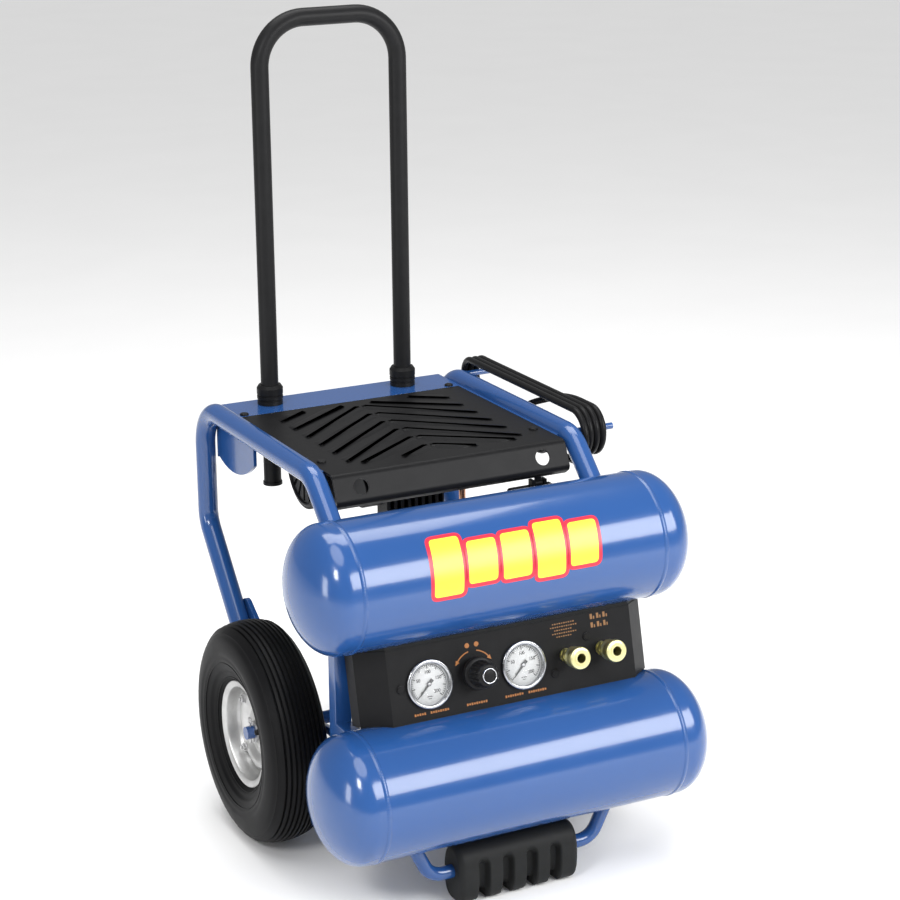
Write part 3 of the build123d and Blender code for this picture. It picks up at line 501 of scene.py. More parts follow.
def soften(node, finish, width):
    """The CAD piece with its sharp edges broken, as a deburred or cast part has."""
    mesh = frame["nodes"][node].data.copy()
    mesh.materials.clear()
    shape = bmesh.new()
    shape.from_mesh(mesh)
    bmesh.ops.remove_doubles(shape, verts=shape.verts, dist=1e-6)
    bmesh.ops.dissolve_limit(shape, angle_limit=radians(1.0), verts=shape.verts, edges=shape.edges)
    shape.to_mesh(mesh)
    shape.free()
    mesh.name = node + "_finished"
    piece = add_piece(mesh.name, mesh, finish, body_of(node), node)
    mesh.shade_smooth()
    edge = piece.modifiers.new("broken_edges", "BEVEL")
    edge.width = width * MM
    edge.segments = 2
    edge.limit_method = "ANGLE"
    edge.angle_limit = SHARP_CORNER
    edge.harden_normals = True
    edge.use_clamp_overlap = True
    mesh.set_sharp_from_angle(angle=SHARP_CORNER)
    slot_of(node)


def stand_for(name, mesh, finish, node):
    """A finished piece in the place of one CAD node."""
    piece = add_piece(name, mesh, finish, body_of(node), node)
    slot_of(node)
    return piece


def trim(name, mesh, finish, body):
    """An extra detail that stands for no CAD node."""
    piece = add_piece(name, mesh, finish, body)
    return piece


def tanks():
    """Both tanks, with a girth weld at each end."""
    for which, (y, z) in TANKS.items():
        refinish(f"{which}_tank", BLUE)
        for side in (-1, 1):
            centre = Vector((side * SEAM_X, y, z)) * MM
            ring = weld_ring(f"{which}_tank_weld_{side + 1}", centre, (TANK_RADIUS + 0.2) * MM,
                             WELD_WIDTH * MM, WELD_PROUD * MM)
            trim(ring.name, ring, BLUE, "frame")


DECAL_HALVES = (33.0, 24.0, 26.0, 32.0, 25.0)
DECAL_LEFT = -108.0
DECAL_STEP = 43.0
DECAL_WIDTH = 36.0
DECAL_LEAN = 5.0
DECAL_MIDDLE = radians(23)
DECAL_BORDER = 4.6
DECAL_CORNER = 5.0
FILM_STRIPS, FILM_STRIP = 15, 2.6


def wrapped_patch(name, outlines, lift, finish):
    """Shapes cut from thin film and wrapped round the upper tank's front."""
    y, z = TANKS["upper"]
    radius = TANK_RADIUS + lift
    shape = bmesh.new()
    for outline in outlines:
        shape.faces.new([shape.verts.new((x, s, 0)) for x, s in outline])
    for step in range(-FILM_STRIPS, FILM_STRIPS + 1):
        everything = shape.verts[:] + shape.edges[:] + shape.faces[:]
        bmesh.ops.bisect_plane(shape, geom=everything, plane_no=(0, 1, 0),
                               plane_co=(0, step * FILM_STRIP, 0))
    for vertex in shape.verts:
        angle = DECAL_MIDDLE + vertex.co.y / TANK_RADIUS
        vertex.co = Vector((vertex.co.x, y - radius * cos(angle), z + radius * sin(angle))) * MM
    mesh = bpy.data.meshes.new(name)
    shape.to_mesh(mesh)
    shape.free()
    mesh.shade_smooth()
    trim(name, mesh, finish, "frame")


def decal():
    """Plain slanted bars, yellow with a red border."""
    yellow, red = [], []
    for index, half in enumerate(DECAL_HALVES):
        left = DECAL_LEFT + index * DECAL_STEP
        for grow, outlines in ((0.0, yellow), (DECAL_BORDER, red)):
            low, high = -half - grow, half + grow
            corners = [(left - grow, low), (left + DECAL_WIDTH + grow, low),
                       (left + DECAL_WIDTH + DECAL_LEAN + grow, high), (left + DECAL_LEAN - grow, high)]
            smooth = rounded([(x, s, 0) for x, s in corners], DECAL_CORNER + grow)
            outlines.append([(point.x, point.y) for point in smooth])
    wrapped_patch("decal_border", red, 0.12, RED_INK)
    wrapped_patch("decal_bars", yellow, 0.26, YELLOW_INK)


def tubes():
    """Painted frame, steel link pipe and black handle."""
    for node in ("side_tube_left", "side_tube_right", "foot_tube"):
        refinish(node, BLUE)
    for node in ("deck_frame", "wheel_bracket_left", "wheel_bracket_right", "tank_struts"):
        soften(node, BLUE, 1.0)
    refinish("cord_hooks", BLUE)
    refinish("tank_link_pipe", STEEL)
    refinish("handle", BLACK_TUBE)


# ---- deck ----------------------------------------------------------------------------
RIB_PITCH = 38.0
RIB_WIDTH = 17.0
RIB_LEAN = radians(36)
RIB_HEIGHT = 1.2
RIB_EDGE = 5.4
RIB_CORNER = 3.0
RIB_SIDE = 116.0
RIB_GAP = 2.2
RIB_FRONT, RIB_REAR = -44.0, 190.0


def clipped(outline, axis, limit, keep_above):
    """Cut a polygon by one straight line square to an axis."""
    result = []
    for here, after in zip(outline, outline[1:] + outline[:1]):
        inside = (here[axis] >= limit) == keep_above
        inside_after = (after[axis] >= limit) == keep_above
        if inside:
            result.append(here)
        if inside != inside_after:
            t = (limit - here[axis]) / (after[axis] - here[axis])
            result.append(tuple(a + (b - a) * t for a, b in zip(here, after)))
    return result


def rib_outlines():
    """Both legs of every chevron that fits between the front and rear of the ribbed field."""
    fall = RIB_SIDE * tan(RIB_LEAN)
    depth = RIB_WIDTH / cos(RIB_LEAN)
    outlines = []
    apex = RIB_FRONT
    while apex < RIB_REAR + fall + RIB_PITCH:
        for side in (-1, 1):
            far = side * RIB_SIDE
            leg = [(0.0, apex), (far, apex - fall), (far, apex - fall - depth), (0.0, apex - depth)]
            for axis, limit, keep_above in ((1, RIB_FRONT, True), (1, RIB_REAR, False),
                                            (0, side * RIB_GAP, side > 0)):
                if len(leg) > 2:
                    leg = clipped(leg, axis, limit, keep_above)
            if len(leg) > 2:
                smooth = rounded([(x, y, 0) for x, y in leg], RIB_CORNER, 3)
                outlines.append([(point.x, point.y) for point in smooth])
        apex += RIB_PITCH
    return outlines


def on_deck(x, y, height):
    """Place on the deck sheet's upper face."""
    return Vector((x, y, DECK_Z + height)) * MM


def deck():
    """Deck sheet with its pressed chevron ribs, screws and handle bushings."""
    soften("deck_plate", BLACK_DECK, 0.5)
    ribs = flat_plate("deck_ribs", rib_outlines(), on_deck, RIB_HEIGHT, edge=RIB_EDGE)
    ribs.shade_smooth()
    trim("deck_ribs", ribs, BLACK_DECK, "frame")
    refinish("deck_screws", BLACK_PLASTIC)
    refinish("handle_bushings", BLACK_PLASTIC)


# ---- wheels --------------------------------------------------------------------------
TREAD_GROOVES = (0.0, 6.0, 12.0, 18.0, 24.0)
TYRE_RADIUS = 136.0
CROWN_DROP = 4.4
GROOVE_DEPTH = 2.6


def tyre_outline():
    """(offset, radius) of the tyre's outer skin: side walls, shoulders and ribbed tread."""
    tread = []
    for groove in TREAD_GROOVES:
        crown = TYRE_RADIUS - (groove / TREAD_GROOVES[-1]) ** 2 * CROWN_DROP
        floor_radius = crown - GROOVE_DEPTH
        tread += [(groove - 1.5, crown), (groove - 0.9, floor_radius), (groove + 0.9, floor_radius),
                  (groove + 1.5, crown - 0.2)]
    right = tread[2:] + [
        (28.6, 128.9), (31.5, 124.6), (32.4, 124.2), (33.0, 122.4), (34.6, 120.6), (36.6, 115.6),
        (38.3, 109.0), (38.95, 103.0), (38.9, 99.0), (38.0, 96.4), (38.4, 94.8), (37.9, 92.0),
        (36.2, 87.0), (34.6, 82.0), (33.4, 79.4), (31.8, 78.2), (31.0, 75.0), (28.0, 70.0),
        (25.4, 67.4), (24.0, 66.2), (21.4, 60.5), (18.0, 59.5)]
    left = [(-offset, radius) for offset, radius in reversed(right)]
    return left + right


RIM_OUTLINE = (
    (9.0, 8.06), (9.0, 13.4), (8.2, 14.0), (6.0, 14.2), (5.2, 16.8), (3.3, 24.0), (3.1, 30.0),
    (4.6, 33.0), (7.6, 36.5), (9.2, 41.0), (9.2, 44.5), (7.0, 48.5), (3.4, 51.5), (3.0, 53.0),
    (6.0, 55.0), (13.6, 56.4), (21.0, 56.6), (23.0, 57.6), (24.8, 61.0), (25.6, 64.8),
    (25.0, 65.7), (21.4, 59.3), (-21.4, 59.3), (-25.0, 65.7), (-25.6, 64.8), (-22.0, 56.6),
    (11.0, 56.4), (0.4, 52.0), (6.0, 44.0), (4.0, 37.0), (0.2, 31.0), (0.0, 17.0),
    (-5.0, 14.0), (-36.0, 14.0), (-36.0, 8.06),
)
NUT_OUTLINE = ((0, 6.6), (0.8, 6.4), (0.9, 4.8), (3.6, 4.8), (4.4, 4.0), (4.4, 2.8), (6.2, 2.6), (6.6, 0))
NUTS = 4
NUT_CIRCLE, NUT_SEAT = 45.0, 9.0
STEM_OUTLINE = ((0, 4.6), (4, 4.0), (7, 3.2), (16, 3.0), (16.2, 3.6), (23, 3.5), (24, 2.6), (24, 0))
STEM_CIRCLE, STEM_SEAT, STEM_TURN, STEM_LEAN = 53.0, 3.5, 0.4, 0.25
# where each raised line on the side wall stands: (offset from the middle, radius)
BEAD_LINES = ((28.3, 69.5), (36.8, 88.0))
BEAD_OUTLINE = ((0.0, 0.0), (0.7, 0.3), (0.9, 0.9), (0.7, 1.5), (0.0, 1.8))


def tyre_and_rim(side, centre, out):
    tyre = lathe(f"tyre_skin_{side}", in_metres(tyre_outline()), centre, out, 160, closed=True)
    tyre.set_sharp_from_angle(angle=radians(40))
    stand_for(tyre.name, tyre, TYRE, f"tyre_{side}")
    rim = lathe(f"rim_dish_{side}", in_metres(RIM_OUTLINE), centre, out, 128, closed=True)
    rim.set_sharp_from_angle(angle=radians(28))
    stand_for(rim.name, rim, ZINC, f"rim_{side}")


def rim_nuts(side, centre, out):
    for index in range(NUTS):
        angle = radians(45 + 360 / NUTS * index)
        spoke = Vector((0, cos(angle), sin(angle)))
        spot = centre + spoke * NUT_CIRCLE * MM + out * NUT_SEAT * MM
        nut = lathe(f"rim_nut_{side}_{index}", in_metres(NUT_OUTLINE), spot, out, 6)
        nut.shade_flat()
        trim(nut.name, nut, STEEL, f"wheel_{side}")


def valve_stem(side, centre, out):
    inward = Vector((0, cos(STEM_TURN), -sin(STEM_TURN)))
    spot = centre - inward * STEM_CIRCLE * MM + out * STEM_SEAT * MM
    stem = lathe(f"valve_stem_{side}", in_metres(STEM_OUTLINE), spot, out + inward * STEM_LEAN, 24)
    trim(stem.name, stem, BLACK_PLASTIC, f"wheel_{side}")


def bead_lines(side, centre, out):
    for row, (base, where) in enumerate(BEAD_LINES):
        outline = [(base + rise, where + reach) for rise, reach in BEAD_OUTLINE]
        lift = lathe(f"tyre_bead_line_{side}_{row}", in_metres(outline), centre, out, 160)
        trim(lift.name, lift, TYRE, f"wheel_{side}")


def wheels():
    """Both wheels, piece by piece, and the axle."""
    for side, sign in (("left", -1), ("right", 1)):
        centre = Vector((sign * WHEEL_X, WHEEL_Y, WHEEL_Z)) * MM
        out = Vector((sign, 0, 0))
        for build in (tyre_and_rim, rim_nuts, valve_stem, bead_lines):
            build(side, centre, out)
    refinish("axle", BLUE)
    soften("axle_fasteners", STEEL, 0.4)


# ---- foot ----------------------------------------------------------------------------
FOOT_HALF = 78.0
FOOT_GAP = 0.3
FOOT_TOP = 70.0
FOOT_WIDE = 24.0
FOOT_Y = -215.1
FOOT_BUMPS = 5
FOOT_END = 7.0
FOOT_END_STEPS = 8
FOOT_STEPS = 150
FOOT_AROUND = 96
# how square the foot's section is above and below its middle; 2 is round
TOP_SQUARENESS, BOTTOM_SQUARENESS = 2.3, 3.0
NOTCH_HALF = 6.6
NOTCH_BLEND = 1.4
NOTCH_DEEP = 11.0
NOTCH_CROWN = 47.0


def notch_depth(x, z):
    """How far the foot's skin is set in at a spot, inside the round-topped notches."""
    pitch = 2 * FOOT_HALF / FOOT_BUMPS
    place = (x + FOOT_HALF) / pitch
    nearest = min(FOOT_BUMPS - 1, max(1, round(place)))
    away = abs(place - nearest) * pitch
    reach = hypot(away, max(0.0, z - NOTCH_CROWN))
    share = min(1.0, max(0.0, (NOTCH_HALF + NOTCH_BLEND - reach) / (2 * NOTCH_BLEND)))
    return NOTCH_DEEP * share * share * (3 - 2 * share)


def foot_stations():
    """Positions along the foot with the inset of its rounded ends."""
    inner = FOOT_HALF - FOOT_GAP - FOOT_END
    left = []
    for step in range(FOOT_END_STEPS + 1):
        turn = radians(90 - 90 * step / FOOT_END_STEPS)
        left.append((-inner - FOOT_END * sin(turn), FOOT_END * (1 - cos(turn))))
    middle = [(-inner + 2 * inner * step / FOOT_STEPS, 0.0) for step in range(1, FOOT_STEPS)]
    right = [(-x, inset) for x, inset in reversed(left)]
    return left + middle + right


def foot():
    """Moulded rubber foot: a fat bar round the foot tube, notched into five cushions."""
    around = FOOT_AROUND
    half_tall = FOOT_TOP / 2
    vertices = []
    stations = foot_stations()
    for x, inset in stations:
        for step in range(around):
            angle = 2 * pi * step / around
            c, s = cos(angle), sin(angle)
            power = TOP_SQUARENESS if s > 0 else BOTTOM_SQUARENESS
            reach = (abs(c) ** power + abs(s) ** power) ** (-1 / power)
            cut = inset + notch_depth(x, half_tall * (1 + s * reach))
            vertices.append((x * MM, (FOOT_Y + (FOOT_WIDE - cut) * c * reach) * MM,
                             (half_tall + (half_tall - cut) * s * reach) * MM))
    faces = []
    for index in range(len(stations) - 1):
        for step in range(around):
            ahead = (step + 1) % around
            faces.append((index * around + step, index * around + ahead,
                          (index + 1) * around + ahead, (index + 1) * around + step))
    faces.append(tuple(range(around)))
    faces.append(tuple((len(stations) - 1) * around + step for step in reversed(range(around))))
    mesh = solid_mesh("foot_cushions", vertices, faces)
    stand_for("foot_cushions", mesh, FOOT_RUBBER, "foot_pad")


# ---- control panel -------------------------------------------------------------------
NUMBERS = ("0", "50", "100", "150", "200")
SWEEP_START = radians(225)
SWEEP = radians(270)


def dial_angle(share):
    """Direction on the dial for a share of the full scale, clockwise."""
    return SWEEP_START - SWEEP * share


def tick(x, v, angle, inner, outer, width):
    """Outline of one radial dial mark."""
    along = Vector((cos(angle), sin(angle)))
    across = Vector((-sin(angle), cos(angle))) * width / 2
    middle = Vector((x, v))
    corners = [middle + along * inner - across, middle + along * outer - across,
               middle + along * outer + across, middle + along * inner + across]
    return [(corner.x, corner.y) for corner in corners]


BEZEL_OUTLINE = (
    (-21.9, 0.0), (-21.9, 24.0), (-3.0, 24.9), (0.2, 25.0), (0.2, 27.6), (1.0, 28.3), (3.2, 28.3),
    (4.1, 27.7), (4.5, 26.4), (4.3, 25.0), (3.7, 24.2), (2.4, 23.95), (-1.3, 23.95), (-1.4, 0.0),
)
DIAL_FACE = ((-1.3, 23.9), (-1.1, 23.8), (-1.0, 0.0))
WINDOW_OUTLINE = ((2.6, 0.0), (2.6, 23.6), (3.2, 23.7), (3.5, 23.0), (3.6, 0.0))
BOSS_OUTLINE = ((0.8, 1.8), (1.3, 1.5), (1.4, 0.0))
DIAL_MARKS, LONG_EVERY = 40, 5
# inner radius and width of a dial mark
LONG_MARK, SHORT_MARK = (17.6, 1.15), (19.4, 0.6)
MARK_OUTER, ARC_OUTER = 21.6, 22.2
DIAL_HEIGHT = -0.98
NUMBER_HEIGHT = -0.85
NUMBER_SIZE, NUMBER_RADIUS = 5.4, 13.6
NEEDLE_TAIL, NEEDLE_TIP, NEEDLE_WIDTH = 6.5, 18.0, 2.3
NEEDLE_HEIGHT = 0.1


def dial_marks(x):
    """Outlines of the marks, the arc that joins them and two plain bars under the middle."""
    marks = []
    for step in range(DIAL_MARKS + 1):
        inner, width = SHORT_MARK if step % LONG_EVERY else LONG_MARK
        marks.append(tick(x, GAUGE_V, dial_angle(step / DIAL_MARKS), inner, MARK_OUTER, width))
    marks.append(bar(x, GAUGE_V - 14.5, 7.0, 1.0))
    marks.append(bar(x, GAUGE_V - 17.0, 4.0, 0.8))
    first, last = dial_angle(0), dial_angle(1)
    marks.append(arc_points(x, GAUGE_V, ARC_OUTER, first, last, DIAL_MARKS)
                 + arc_points(x, GAUGE_V, MARK_OUTER, last, first, DIAL_MARKS))
    return marks


def dial_number(which, x, number, angle):
    """One number on the dial, standing upright."""
    text = bpy.data.curves.new(f"{which}_dial_number_{number}", "FONT")
    text.body = number
    text.size = NUMBER_SIZE * MM
    text.align_x = "CENTER"
    text.align_y = "CENTER"
    text.extrude = 0.02 * MM
    text.offset = 0.12 * MM
    text.materials.append(BLACK_INK)
    label = bpy.data.objects.new(text.name, text)
    bpy.context.scene.collection.objects.link(label)
    turn = Matrix((Vector((1, 0, 0)), PANEL_UP, PANEL_OUT)).transposed().to_4x4()
    spot = panel_point(x + NUMBER_RADIUS * cos(angle), GAUGE_V + NUMBER_RADIUS * sin(angle),
                       NUMBER_HEIGHT)
    label.matrix_world = Matrix.Translation(spot) @ turn
    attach(label, "frame")


def gauge_needle(which, x):
    """Tapered pointer with a short tail, its hub and its boss."""
    angle = dial_angle(0)
    along = Vector((cos(angle), sin(angle)))
    across = Vector((-sin(angle), cos(angle)))
    waist, point = NEEDLE_WIDTH * 0.6, 0.5
    corners = [along * -NEEDLE_TAIL - across * NEEDLE_WIDTH, along * 2 - across * waist,
               along * NEEDLE_TIP - across * point, along * NEEDLE_TIP + across * point,
               along * 2 + across * waist, along * -NEEDLE_TAIL + across * NEEDLE_WIDTH]
    pointer = [(x + corner.x, GAUGE_V + corner.y) for corner in corners]
    hub = circle_points(x, GAUGE_V, 2.8, 28)

    def above_dial(px, pv, height):
        return panel_point(px, pv, NEEDLE_HEIGHT + height)

    blade = flat_plate(f"{which}_gauge_pointer", [pointer, hub], above_dial, 0.7, edge=0.12)
    stand_for(blade.name, blade, BLACK_INK, f"{which}_gauge_needle")
    boss = panel_lathe(f"{which}_needle_boss", x, GAUGE_V, BOSS_OUTLINE, 32)
    trim(boss.name, boss, STEEL, f"{which}_needle")


def gauge(which, x):
    """Case with its bezel, printed dial, needle and window."""
    case = panel_lathe(f"{which}_gauge_bezel", x, GAUGE_V, BEZEL_OUTLINE)
    case.set_sharp_from_angle(angle=radians(40))
    stand_for(case.name, case, BEZEL, f"{which}_gauge_case")
    face = panel_lathe(f"{which}_dial_face", x, GAUGE_V, DIAL_FACE)
    trim(face.name, face, WHITE_FACE, "frame")

    def on_dial(px, pv, height):
        return panel_point(px, pv, DIAL_HEIGHT + height)

    prints = flat_plate(f"{which}_dial_marks", dial_marks(x), on_dial, 0.06)
    trim(prints.name, prints, BLACK_INK, "frame")
    for index, number in enumerate(NUMBERS):
        dial_number(which, x, number, dial_angle(index / (len(NUMBERS) - 1)))
    gauge_needle(which, x)
    window = panel_lathe(f"{which}_window", x, GAUGE_V, WINDOW_OUTLINE)
    stand_for(window.name, window, CLEAR, f"{which}_gauge_lens")


def fluted(name, x, v, outline, flutes, depth, low, high, segments):
    """Turned grip whose wall between heights low and high carries even flutes."""
    mesh = panel_lathe(name, x, v, outline, segments)
    origin = panel_point(x, v, 0)
    for vertex in mesh.vertices:
        offset = (vertex.co - origin).dot(PANEL_OUT)
        if low * MM <= offset <= high * MM:
            middle = origin + PANEL_OUT * offset
            spoke = vertex.co - middle
            up = spoke.normalized()
            angle = atan2(up.x, up.dot(PANEL_UP))
            cut = max(0.0, cos(angle * flutes)) ** 0.7
            vertex.co = middle + spoke - up * depth * MM * cut
    return mesh


KNOB_OUTLINE = (
    (8.0, 5.06), (8.0, 18.6), (8.6, 19.0), (14.6, 19.0), (15.6, 18.2), (16.0, 15.6), (16.4, 15.4),
    (18.0, 15.4), (20.0, 14.8), (25.0, 14.5), (30.0, 14.2), (33.6, 13.9), (35.4, 12.6),
    (36.4, 10.8), (36.5, 9.2), (36.5, 5.06),
)
KNOB_RING = ((36.4, 8.8), (38.8, 8.8), (39.4, 8.4), (39.4, 8.0), (38.8, 7.6), (36.4, 7.5))
KNOB_CAP = ((36.4, 7.5), (37.6, 7.4), (38.2, 6.0), (38.3, 0.0))
SLEEVE_OUTLINE = (
    (17.0, 8.28), (17.0, 11.4), (17.5, 12.0), (20.4, 12.0), (21.2, 11.5), (22.0, 11.2), (24.0, 11.15),
    (28.0, 11.2), (28.8, 11.6), (29.4, 12.8), (29.9, 13.15), (31.2, 13.2), (33.0, 13.2), (34.2, 13.2),
    (35.2, 12.9), (36.0, 12.3), (36.4, 11.6), (36.4, 8.28),
)
BORE_OUTLINE = ((36.9, 8.0), (37.0, 5.7), (15.0, 5.55), (14.2, 0.0))


def knob():
    """Fluted regulator knob with a bright ring round its cap."""
    grip = fluted("knob_grip", KNOB_X, KNOB_V, KNOB_OUTLINE,
                  flutes=14, depth=1.1, low=17.0, high=34.0, segments=168)
    grip.set_sharp_from_angle(angle=radians(50))
    stand_for(grip.name, grip, BLACK_PLASTIC, "regulator_knob")
    ring = panel_lathe("knob_ring", KNOB_X, KNOB_V, KNOB_RING)
    trim(ring.name, ring, CHROME, "regulator_knob")
    cap = panel_lathe("knob_cap", KNOB_X, KNOB_V, KNOB_CAP, 64)
    trim(cap.name, cap, BLACK_PLASTIC, "regulator_knob")
    refinish("regulator_body", CAST)


def couplers():
    """Brass bodies, their knurled sleeves, and a near-black lining in each bore, painted shade inside the
    hole.
    """
    for index, x in COUPLERS.items():
        refinish(f"coupler_{index}_body", BRASS, 28)
        sleeve = fluted(f"coupler_sleeve_{index}_knurled", x, COUPLER_V, SLEEVE_OUTLINE,
                        flutes=44, depth=0.4, low=30.5, high=34.6, segments=264)
        sleeve.set_sharp_from_angle(angle=radians(40))
        stand_for(sleeve.name, sleeve, BRASS, f"coupler_{index}_sleeve")
        # near-black lining inside the bore: painted shade
        seat = panel_lathe(f"coupler_{index}_bore", x, COUPLER_V, BORE_OUTLINE)
        trim(seat.name, seat, PAINTED_SHADE_BORE, "frame")


def on_panel_face(x, v, height):
    """Place for print on the panel, a hair above its paint."""
    return panel_point(x, v, 0.05 + height)


CAPTION_V, CAPTION_GAP, DASH_PITCH = -33.5, 4, 3
ARROW_OUTER, ARROW_MIDDLE, ARROW_INNER = 25.6, 24.9, 24.2
ARROW_STEPS = 16
ARROW_TIP, ARROW_HALF_WIDTH = 5.5, 2.6
# length and height of each row of dashes over the couplers
LABEL_ROWS = ((30, 38.0), (38, 34.2), (26, 30.4), (34, 26.6), (22, 22.8))


def caption_bars(x, widths):
    """Broken dashes in place of a caption of one or two words."""
    left = x - (sum(widths) + CAPTION_GAP * (len(widths) - 1)) / 2
    bars = []
    for width in widths:
        for step in range(width // DASH_PITCH):
            tall = 2.2 if step % 2 else 2.8
            bars.append(bar(left + step * DASH_PITCH + 1.0, CAPTION_V, 2.1, tall))
        left += width + CAPTION_GAP
    return bars


def turning_arrows():
    """Two arcs over the knob, each with an arrowhead, and two dots."""
    shapes = []
    low, high = radians(38), radians(142)
    for first, last in ((low, radians(78)), (radians(102), high)):
        shapes.append(arc_points(KNOB_X, KNOB_V, ARROW_OUTER, first, last, ARROW_STEPS)
                      + arc_points(KNOB_X, KNOB_V, ARROW_INNER, last, first, ARROW_STEPS))
    for angle, way in ((low, -1), (high, 1)):
        out = Vector((cos(angle), sin(angle)))
        centre = Vector((KNOB_X, KNOB_V)) + out * ARROW_MIDDLE
        tip = centre + Vector((-sin(angle), cos(angle))) * way * ARROW_TIP
        shapes.append([tuple(tip), tuple(centre + out * ARROW_HALF_WIDTH),
                       tuple(centre - out * ARROW_HALF_WIDTH)])
    for side in (-1, 1):
        shapes.append(circle_points(KNOB_X + side * 6.0, 33.5, 2.9, 20))
    return shapes


def label_lines():
    """Rows of dashes and a block of small bars over the couplers."""
    shapes = []
    for row, (length, v) in enumerate(LABEL_ROWS):
        left = 80 + row % 2 - length / 2
        for step in range(length // DASH_PITCH):
            shapes.append(bar(left + step * DASH_PITCH, v, 1.9, 1.1 + 0.4 * (step % 2)))
    for column in range(3):
        for row in range(2):
            shapes.append(bar(116 + column * 8.5, 39.0 - row * 10.0, 3.0, 6.0))
            shapes.append(bar(119.5 + column * 8.5, 37.5 - row * 10.0, 1.6, 3.4))
    return shapes


def panel_prints():
    """Plain bars and an adjusting arc in place of any printed wording."""
    inked = []
    for x, widths in ((GAUGES["tank"], (16, 24)), (KNOB_X, (28,)), (GAUGES["outlet"], (26, 24))):
        inked += caption_bars(x, widths)
    prints = flat_plate("panel_prints_orange", inked + turning_arrows(), on_panel_face, 0.08)
    trim(prints.name, prints, ORANGE_INK, "frame")
    labels = flat_plate("panel_prints_pale", label_lines(), on_panel_face, 0.08)
    trim(labels.name, labels, PALE_INK, "frame")


# black strips in the slits between the panel and the tanks: painted shade
SHADE_STRIP_THICKNESS = 1.6
# (x, height in front of the panel plane, reach up, reach down), across the face and both chamfers
SHADE_STRIP_PATH = ((-176.0, -27.6, 48.4, -41.6), (-148.0, -0.8, 49.0, -42.3),
             (167.0, -0.8, 49.0, -42.3), (195.0, -27.6, 48.4, -41.6))


def shade_strips():
    """Black strips that close the slits between the panel and the two tanks: painted shade where the
    slits would show light through.
    """
    vertices, faces = [], []
    for root, column in ((43.5, 2), (-39.5, 3)):
        base = len(vertices)
        for station in SHADE_STRIP_PATH:
            x, height, edge = station[0], station[1], station[column]
            for v, lift in ((root, 0.0), (edge, 0.0), (edge, -SHADE_STRIP_THICKNESS), (root, -SHADE_STRIP_THICKNESS)):
                vertices.append(panel_point(x, v, height + lift))
        for step in range(len(SHADE_STRIP_PATH) - 1):
            near = base + step * 4
            for side in range(4):
                ahead = (side + 1) % 4
                faces.append((near + side, near + ahead, near + 4 + ahead, near + 4 + side))
        last = base + (len(SHADE_STRIP_PATH) - 1) * 4
        faces.append((base, base + 1, base + 2, base + 3))
        faces.append((last + 3, last + 2, last + 1, last))
    mesh = solid_mesh("panel_shade_strips", vertices, faces, smooth=False)
    trim(mesh.name, mesh, FOOT_RUBBER, "frame")


SCREW_RIM = ((0.1, 5.4), (0.7, 5.2), (0.9, 4.1))
PANEL_SCREWS = ((-135.0, -1.0), (61.0, -18.0), (107.0, 17.5))


def panel():
    """Control panel with everything that is mounted on it."""
    # black strips closing the slits round the panel: painted shade
    shade_strips()
    soften("control_panel", BLACK_PANEL, 0.8)
    panel_prints()
    knob()
    couplers()
    for which, x in GAUGES.items():
        gauge(which, x)
    for index, (x, v) in enumerate(PANEL_SCREWS):
        rim = panel_lathe(f"panel_screw_rim_{index}", x, v, SCREW_RIM, 36)
        trim(rim.name, rim, BLACK_PLASTIC, "frame")
    refinish("panel_screws", BLACK_PLASTIC)
    refinish("manifold", CAST)


# ---- pump, motor and fittings --------------------------------------------------------
GUARD_FACE_X = -96.0
SHAFT_Y, SHAFT_Z = 140.0, 431.0
# black sheet behind the guard slots: painted shade inside the guard
SHADE_SHEET_OUTLINE = ((2.6, 12.5), (2.9, 20.0), (3.6, 30.0), (2.9, 40.0), (2.6, 49.0))
ROLLED_RIM = ((0.0, 49.0), (-1.6, 48.2), (-2.2, 46.4), (-1.6, 44.6), (0.0, 44.0))
# finish and width of broken edge, in mm, of each machined, cast or moulded piece
EDGED = {
    "crankcase": (DARK_CAST, 1.2),
    "cylinder": (DARK_CAST, 0.4),
    "cylinder_head": (DARK_CAST, 0.6),
    "head_bolts": (STEEL, 0.3),
    "motor_housing": (BLACK_PLASTIC, 1.0),
    "fan_guard": (BLACK_PLASTIC, 0.5),
    "fan": (BLACK_PLASTIC, 0.3),
    "intake_filter": (BLACK_PLASTIC, 1.5),
    "pressure_switch": (BLACK_PLASTIC, 0.5),
    "switch_lever": (BLACK_PLASTIC, 0.4),
    "drain_handle": (BRASS, 0.4),
    "drain_valve": (BRASS, 0.4),
    "check_valve": (BRASS, 0.5),
    "safety_valve": (BRASS, 0.5),
    "piston_and_rod": (CAST, 0.4),
}
ROUND = {"safety_ring": STEEL, "discharge_tube": COPPER, "stator": IRON, "rotor_and_crank": STEEL}


def guard_face():
    """Dished black sheet behind the slots of the fan guard, painted shade where light would pass through,
    and its rolled rim.
    """
    centre = Vector((GUARD_FACE_X, SHAFT_Y, SHAFT_Z)) * MM
    for name, outline, finish in (("guard_shade_sheet", SHADE_SHEET_OUTLINE, FOOT_RUBBER),
                                  ("guard_rim", ROLLED_RIM, BLACK_PLASTIC)):
        mesh = lathe(name, in_metres(outline), centre, (1, 0, 0), 96)
        trim(name, mesh, finish, "frame")


def machinery():
    """Pump, motor and fittings under the deck."""
    guard_face()
    for node, (finish, width) in EDGED.items():
        soften(node, finish, width)
    for node, finish in ROUND.items():
        refinish(node, finish)


# ---- power cord ----------------------------------------------------------------------
LEAD_X, LEAD_Y, LEAD_Z = 204.8, 145.0, 390.0
LEAD_ROUTE = [(148.0, LEAD_Y, LEAD_Z), (172.0, LEAD_Y, 390.0), (192.8, LEAD_Y, 402.0),
              (LEAD_X, LEAD_Y, 422.8), (LEAD_X, LEAD_Y, 446.35)]
